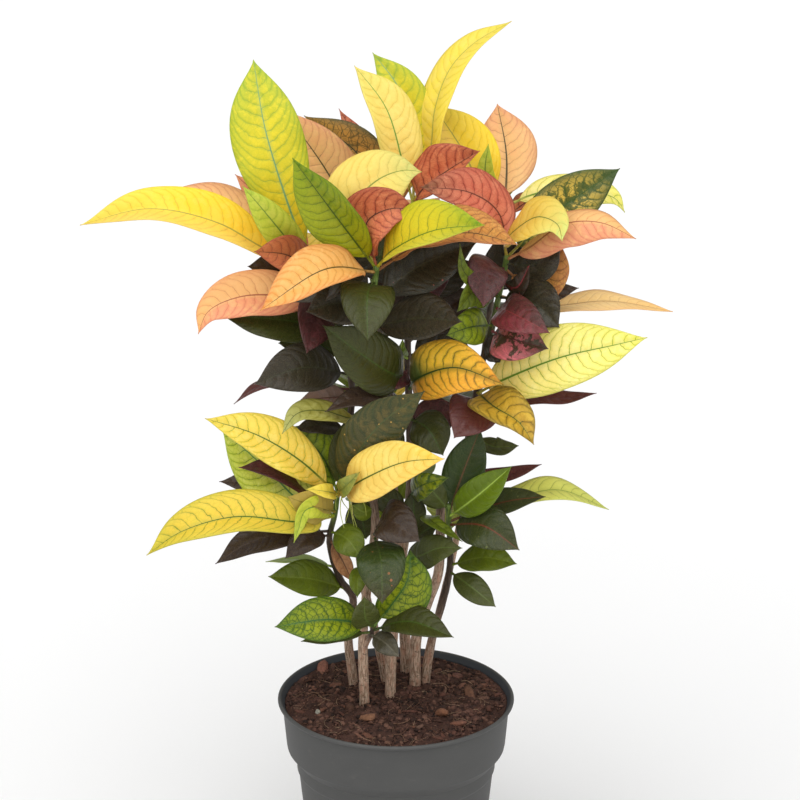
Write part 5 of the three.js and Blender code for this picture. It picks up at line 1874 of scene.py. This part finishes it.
@dataclass
class Pot:
    """The nursery pot: straight lower wall, small step, waist, collar and thin round lip.

    All its lengths are in millimetres, its radii are outside ones, and sharp is the angle in
    degrees from which an edge is rounded.
    """

    height: float = 195.0
    lip_radius: float = 105.0
    lip_depth: float = 3.6
    lip_width: float = 3.6
    collar_top: float = 101.0
    collar_low: float = 97.6
    collar_height: float = 152.0
    waist_radius: float = 89.0
    waist: float = 138.5
    step: float = 126.5
    step_width: float = 1.8
    foot_radius: float = 74.0
    wall: float = 2.2
    floor: float = 3.0
    drains: int = 6
    drain_radius: float = 5.0
    drain_circle: float = 48.0
    drain_sides: int = 24
    sides: int = 160
    rounding: float = 0.45
    sharp: float = 16.0

    def lower_wall(self, z: float) -> float:
        """Gives the outside radius of the plain lower wall at a height."""
        widening = self.waist_radius - self.step_width - self.foot_radius
        return self.foot_radius + widening * z / self.step

    def outside(self) -> list[tuple[float, float]]:
        """Gives the outer outline.

        Returns:
            Radius and height from the middle of the floor to the top of the lip.
        """
        lip = self.height - self.lip_depth
        return [
            (0, 0), (self.foot_radius - 2, 0), (self.foot_radius, 2),
            (self.lower_wall(92), 92), (self.lower_wall(self.step - 1.5), self.step - 1.5),
            (self.waist_radius - 0.4, self.step + 1), (self.waist_radius, self.waist),
            (self.waist_radius + 0.8, self.waist + 1.1),
            (self.collar_low - 0.7, self.collar_height - 3.5),
            (self.collar_low, self.collar_height),
            (self.collar_top, lip - 0.8), (self.lip_radius - 0.9, lip),
            (self.lip_radius, lip + 1.1), (self.lip_radius, self.height - 1.3),
            (self.lip_radius - 1.2, self.height),
        ]

    def inside(self) -> list[tuple[float, float]]:
        """Gives the inner outline.

        Returns:
            Radius and height from the top of the lip to the middle of the floor.
        """
        lip = self.lip_radius - self.lip_width
        waist, foot = self.waist_radius - self.wall, self.foot_radius - self.wall
        return [
            (lip + 1, self.height), (lip, self.height - 1.5),
            (self.collar_top - self.wall, self.height - self.lip_depth - 2),
            (self.collar_low - self.wall, self.collar_height + 0.6),
            (waist + 0.9, self.waist + 2.6), (waist, self.waist + 1),
            (waist - 0.3, self.step + 1.6),
            (self.lower_wall(self.step) - self.wall, self.step - 1),
            (foot + 0.6, self.floor + 1), (foot - 0.6, self.floor), (0, self.floor),
        ]

    def build(self, plastic: bpy.types.Material) -> None:
        """Spins the pot, rounds its edges, drills its drains and dresses it.

        Args:
            plastic: Its finish.
        """
        bm = spun(self.outside() + self.inside(), self.sides, MM)
        turning = [
            e for e in bm.edges
            if len(e.link_faces) == 2 and e.calc_face_angle(0.0) > math.radians(self.sharp)
        ]
        bmesh.ops.bevel(
            bm, geom=turning, offset=self.rounding * MM, offset_type="OFFSET", affect="EDGES",
            segments=2, profile=0.5, material=-1, clamp_overlap=True,
        )
        piece = new_piece(finished(bm, "pot_shell"), plastic)
        self.drill(piece)
        self.mark(piece.data)
        weighted = piece.modifiers.new("even_shading", "WEIGHTED_NORMAL")
        weighted.keep_sharp = True
        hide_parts("pot")

    def mark(self, mesh: bpy.types.Mesh) -> None:
        """Marks the inside of the pot, for its painted shade, and its lightened lip, collar and
        foot: wear, with painted highlight at the lip and the collar.

        Args:
            mesh: The drilled pot.
        """
        points = points_of(mesh) / MM
        reach, z = np.hypot(points[:, 0], points[:, 1]), points[:, 2]
        wall = np.interp(z, *zip(*[(h, r) for r, h in self.outside()[2:]]))
        inside = (reach < wall - self.wall * 0.6) & (z > self.floor * 0.5)
        inside &= z < self.height - 1.4
        # The inside is marked for the painted shade that the plastic gives it.
        set_attribute(mesh, "inside", inside.astype(float))

        def rubbed(at: float, spread: float, most: float) -> np.ndarray:
            """Gives how far the points near a height are lightened: wear, and at the lip and the
            collar also painted highlight.
            """
            return np.clip(1 - np.abs(z - at) / spread, 0, 1) * most

        # The lip's top and the collar's edge are lightened partly as wear, partly as painted
        # highlight; the foot as wear.
        worn = np.maximum(
            rubbed(self.height, 2.5, 1.0) * (~inside), rubbed(self.collar_height, 4.0, 0.35)
        )
        set_attribute(mesh, "worn", np.maximum(worn, rubbed(0.0, 5.0, 0.6)))

    def drill(self, piece: bpy.types.Object) -> None:
        """Cuts the drain holes through the floor.

        Args:
            piece: The pot, whose mesh is exchanged for the drilled one.
        """
        bm = bmesh.new()
        for i in range(self.drains):
            turn = 2 * math.pi * (i + 0.5) / self.drains
            spot = Vector((math.cos(turn), math.sin(turn), 0.0)) * self.drain_circle * MM
            bmesh.ops.create_cone(
                bm, cap_ends=True, segments=self.drain_sides, radius1=self.drain_radius * MM,
                radius2=self.drain_radius * MM, depth=4 * self.floor * MM,
                matrix=Matrix.Translation(spot),
            )
        cutter = shown("drills", finished(bm, "drills"))
        cut = piece.modifiers.new("drains", "BOOLEAN")
        cut.object = cutter
        cut.operation = "DIFFERENCE"
        cut.solver = "EXACT"
        graph = bpy.context.evaluated_depsgraph_get()
        drilled = bpy.data.meshes.new_from_object(piece.evaluated_get(graph))
        smooth(drilled)
        piece.modifiers.clear()
        piece.data = drilled
        bpy.data.objects.remove(cutter)


@dataclass
class PeatBed:
    """The filling: a rough bed with crumbs, clods, bark chips and root fibres on it.

    Its lengths are in millimetres. outline follows the inside of the pot up to the edge of the
    bed, the reaches say how far from the axis each kind is strewn, and edge how far out a fibre
    may end. A big chip has a place, a half length and a tone.
    """

    edge_height: float = 189.3
    mound: float = 3.6
    roughness: float = 1.6
    radius: float = 98.6
    mound_radius: float = 105.0
    bed_sides: int = 240
    bed_rings: int = 72
    crumbs: int = 4000
    crumb_reach: float = 96.5
    clods: int = 90
    clod_reach: float = 91.0
    chips: int = 60
    chip_reach: float = 92.0
    fibres: int = 300
    fibre_reach: float = 88.0
    edge: float = 92.0
    loose_seed: int = 20
    fibre_seed: int = 7
    ground: str = "452C23"
    outline: tuple[tuple[float, float], ...] = (
        (0, 3.3), (70.7, 3.3), (72.0, 4.4), (84.6, 124), (86.2, 128.5), (86.4, 139),
        (87.0, 141.5), (94.4, 152.6), (97.7, 180),
    )
    tones: tuple[str, ...] = ("3A251D", "4E342A", "281812", "5E4034", "6E4E40", "432C23")
    chip_tones: tuple[str, ...] = ("6B4636", "5E3C30", "7A5444", "4E3328")
    fibre_tones: tuple[str, ...] = ("8A6A54", "6E4C3A", "A3866C", "4E3528")
    crumb_sizes: tuple[float, ...] = (0.5, 0.7, 0.9, 1.1, 1.4, 2.0)
    big_chips: tuple[tuple[float, float, float, str], ...] = (
        (-67, 66, 10, "8E5E4E"), (39, -34, 11, "875B42"), (54, -52, 9, "7C5240"),
        (-25, -44, 11, "8A6148"), (56, 46, 6, "6E4A3E"), (-69, -27, 3.2, "A9A698"),
        (66, 8, 9, "6E4C3A"), (-40, -22, 8, "54382A"), (20, -60, 5, "6E5244"),
    )

    def height(self, x: float, y: float) -> float:
        """Gives the height of the bed at a spot.

        Args:
            x: To the right, in millimetres.
            y: To the back.

        Returns:
            The height in millimetres.
        """
        share = math.hypot(x, y) / self.mound_radius
        mound = self.mound * max(0.0, 1 - share * share * 1.15)
        broad = math.sin(0.071 * x + 0.6) * math.cos(0.083 * y - 0.4)
        fine = math.sin(0.19 * x + 0.11 * y) * math.sin(0.17 * y - 0.13 * x + 1.1)
        return self.edge_height + mound + self.roughness * (0.6 * broad + 0.5 * fine)

    def body(self) -> bpy.types.Mesh:
        """Spins the filling and roughens its top.

        Returns:
            The mesh, in metres.
        """
        top = [(r, self.edge_height) for r in np.linspace(self.radius, 0, self.bed_rings)]
        bm = spun([*self.outline, *top], self.bed_sides)
        for v in bm.verts:
            if v.co.z > self.edge_height - 1:
                at = Vector((v.co.x, v.co.y, 0.0))
                rough = noise.fractal(at * 0.11, 1.0, 2.0, 3) * 2.2
                grit = noise.fractal(at * 0.42 + Vector((9, 4, 2)), 1.0, 2.0, 3) * 1.7
                fade = min(1.0, (self.radius - at.length) / 3 + 0.15)
                v.co.z = self.height(at.x, at.y) + (rough + grit) * fade
        bmesh.ops.scale(bm, vec=(MM, MM, MM), verts=bm.verts[:])
        mesh = finished(bm, "peat_bed")
        tone = np.broadcast_to(tint(self.ground), (len(mesh.vertices), 4))
        set_attribute(mesh, "tone", tone)
        return mesh

    def lump(self, blank: Blank, at: Spot, size: Spot, tone: str, chance: random.Random) -> Bent:
        """Bends a ball into one rough lump.

        Args:
            blank: The ball.
            at: The lump's middle.
            size: Its half sizes before it is turned.
            tone: Its colour.
            chance: Its source of roughness.

        Returns:
            The lump.
        """
        ball = blank.points
        waves = np.array([[chance.uniform(-2.6, 2.6) for _ in range(3)] for _ in range(4)])
        rough = sum(np.sin(ball @ wave + chance.uniform(0, 6.3)) for wave in waves)
        points = ball * (1 + 0.16 * rough)[:, None] * size
        turn = Euler([chance.uniform(-0.5, 0.5), chance.uniform(-0.5, 0.5), chance.uniform(0, 6.3)])
        points = points @ np.array(turn.to_matrix()).T + at
        return Bent(blank, points, {"tone": np.broadcast_to(tint(tone), (len(points), 4))})

    def spot(self, chance: random.Random, reach: float) -> tuple[float, float]:
        """Draws a spot on the bed, evenly spread within a reach."""
        turn, far = chance.uniform(0, 2 * math.pi), reach * math.sqrt(chance.random())
        return far * math.cos(turn), far * math.sin(turn)

    def loose(self) -> list[bpy.types.Mesh]:
        """Builds the crumbs, then the clods and the bark chips.

        Returns:
            Their meshes, in metres.
        """
        chance = random.Random(self.loose_seed)
        plain, fine = Blank.ball(False), Blank.ball(True)

        def settled(blank: Blank, x: float, y: float, size: Spot, lift: float, tone: str) -> Bent:
            """Sets a lump down on the bed, its middle lifted by a share of its half height."""
            at = (x, y, self.height(x, y) + size[2] * lift)
            return self.lump(blank, at, size, tone, chance)

        crumbs, chips = [], []
        for _ in range(self.crumbs):
            x, y = self.spot(chance, self.crumb_reach)
            r = chance.choice(self.crumb_sizes) * chance.uniform(0.7, 1.2)
            size = (r * chance.uniform(0.8, 1.5), r, r * chance.uniform(0.5, 0.9))
            crumbs.append(settled(plain, x, y, size, 0.25, chance.choice(self.tones)))
        for _ in range(self.clods):
            x, y = self.spot(chance, self.clod_reach)
            r = chance.uniform(1.8, 3.8)
            size = (r * chance.uniform(0.9, 1.4), r, r * chance.uniform(0.45, 0.75))
            chips.append(settled(fine, x, y, size, 0.1, chance.choice(self.tones)))
        for _ in range(self.chips):
            x, y = self.spot(chance, self.chip_reach)
            r = chance.uniform(2.2, 5.4)
            size = (r * chance.uniform(0.9, 1.6), r * 0.62, chance.uniform(1.0, 2.0))
            chips.append(settled(fine, x, y, size, 0.25, chance.choice(self.chip_tones)))
        for x, y, long, tone in self.big_chips:
            size = (long, long * 0.5, max(2.2, long * 0.3))
            chips.append(settled(fine, x, y, size, 0.3, tone))
        return [joined("peat_crumbs", crumbs), joined("bark_chips", chips)]

    def threads(self) -> bpy.types.Mesh:
        """Bends thin root fibres over the bed.

        Returns:
            Their mesh, in metres.
        """
        chance = random.Random(self.fibre_seed)
        rings = 10
        blank = Blank.rod(rings, 4)
        ring = blank.points
        share = ring[:, 2] / rings
        parts = []
        for _ in range(self.fibres):
            x, y = self.spot(chance, self.fibre_reach)
            turn, bend = chance.uniform(0, 6.3), chance.uniform(-1.2, 1.2)
            length, radius = chance.uniform(5, 20), chance.uniform(0.12, 0.3)
            heading = turn + bend * share
            px = x + length * share * np.cos(heading)
            py = y + length * share * np.sin(heading)
            keep = np.minimum(1, self.edge / np.hypot(px, py))
            px, py = px * keep, py * keep
            pz = np.array([self.height(a, b) for a, b in zip(px, py)]) + 1.0
            pz += 2.2 * np.sin(np.pi * share) * chance.random()
            points = np.stack([
                px - np.sin(heading) * ring[:, 0] * radius,
                py + np.cos(heading) * ring[:, 0] * radius,
                pz + ring[:, 1] * radius,
            ], axis=1)
            tone = tint(chance.choice(self.fibre_tones))
            parts.append(Bent(blank, points, {"tone": np.broadcast_to(tone, (len(points), 4))}))
        return joined("root_fibres", parts)

    def build(self, peat: bpy.types.Material) -> None:
        """Builds the whole filling.

        Args:
            peat: Its finish.
        """
        bed = new_piece(self.body(), peat)
        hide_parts("soil")
        for mesh in [*self.loose(), self.threads()]:
            new_piece(mesh, peat)


@dataclass
class Studio:
    """A plain pale floor, soft light and the camera at the photographed angle."""

    floor_radius: float = 30.0
    sky: float = 0.4
    lights: tuple[tuple[str, Spot, float, float], ...] = (
        ("key", (-0.55, -1.1, 1.7), 1.3, 2.2),
        ("fill", (1.2, -1.3, 1.1), 1.5, 1.0),
    )

    def build(self) -> None:
        """Builds the floor, the sky, the lights and the camera."""
        bm = bmesh.new()
        bmesh.ops.create_circle(bm, cap_ends=True, segments=96, radius=self.floor_radius)
        mesh = finished(bm, "studio_floor")
        mesh.materials.append(FloorFinish().material())
        shown("studio_floor", mesh)
        world = bpy.data.worlds.new("studio_sky")
        world.use_nodes = True
        shade = world.node_tree.nodes["Background"]
        shade.inputs["Color"].default_value = (1.0, 1.0, 1.0, 1.0)
        shade.inputs["Strength"].default_value = self.sky
        bpy.context.scene.world = world
        for name, towards, spread, power in self.lights:
            lamp = bpy.data.lights.new(name, "SUN")
            lamp.angle = spread
            lamp.energy = power
            sun = shown(name, lamp)
            sun.location = towards
            sun.rotation_euler = Vector(towards).to_track_quat("Z", "Y").to_euler()
        lens = bpy.data.cameras.new("camera")
        lens.lens = CAMERA_LENS
        lens.sensor_width = SENSOR_WIDTH
        camera = shown("camera", lens)
        camera.location = EYE * MM
        camera.rotation_euler = (math.radians(90 - CAMERA_PITCH), 0.0, 0.0)
        bpy.context.scene.camera = camera
        bpy.context.scene.view_settings.view_transform = "Standard"


def main() -> None:
    """Builds the studio and the plant, sub-assembly by sub-assembly."""
    logging.basicConfig(level=logging.INFO, format="%(message)s")
    Studio().build()
    palette = Palette()
    Pot().build(PlasticFinish().material(palette))
    PeatBed().build(PeatFinish().material(palette))
    bark = BarkFinish().material(palette)
    skins = {family: family.value.material(palette) for family in Family}
    OldFlowerStalks().build(skins[Family.GREEN])
    maker = LeafMaker()
    for name, shoot in SHOOTS.items():
        if not shoot.parent:
            family = {n: s for n, s in SHOOTS.items() if name in (n, s.parent)}
            LeafyStem(name, family, maker).build(skins, bark)


if __name__ == "__main__":
    main()
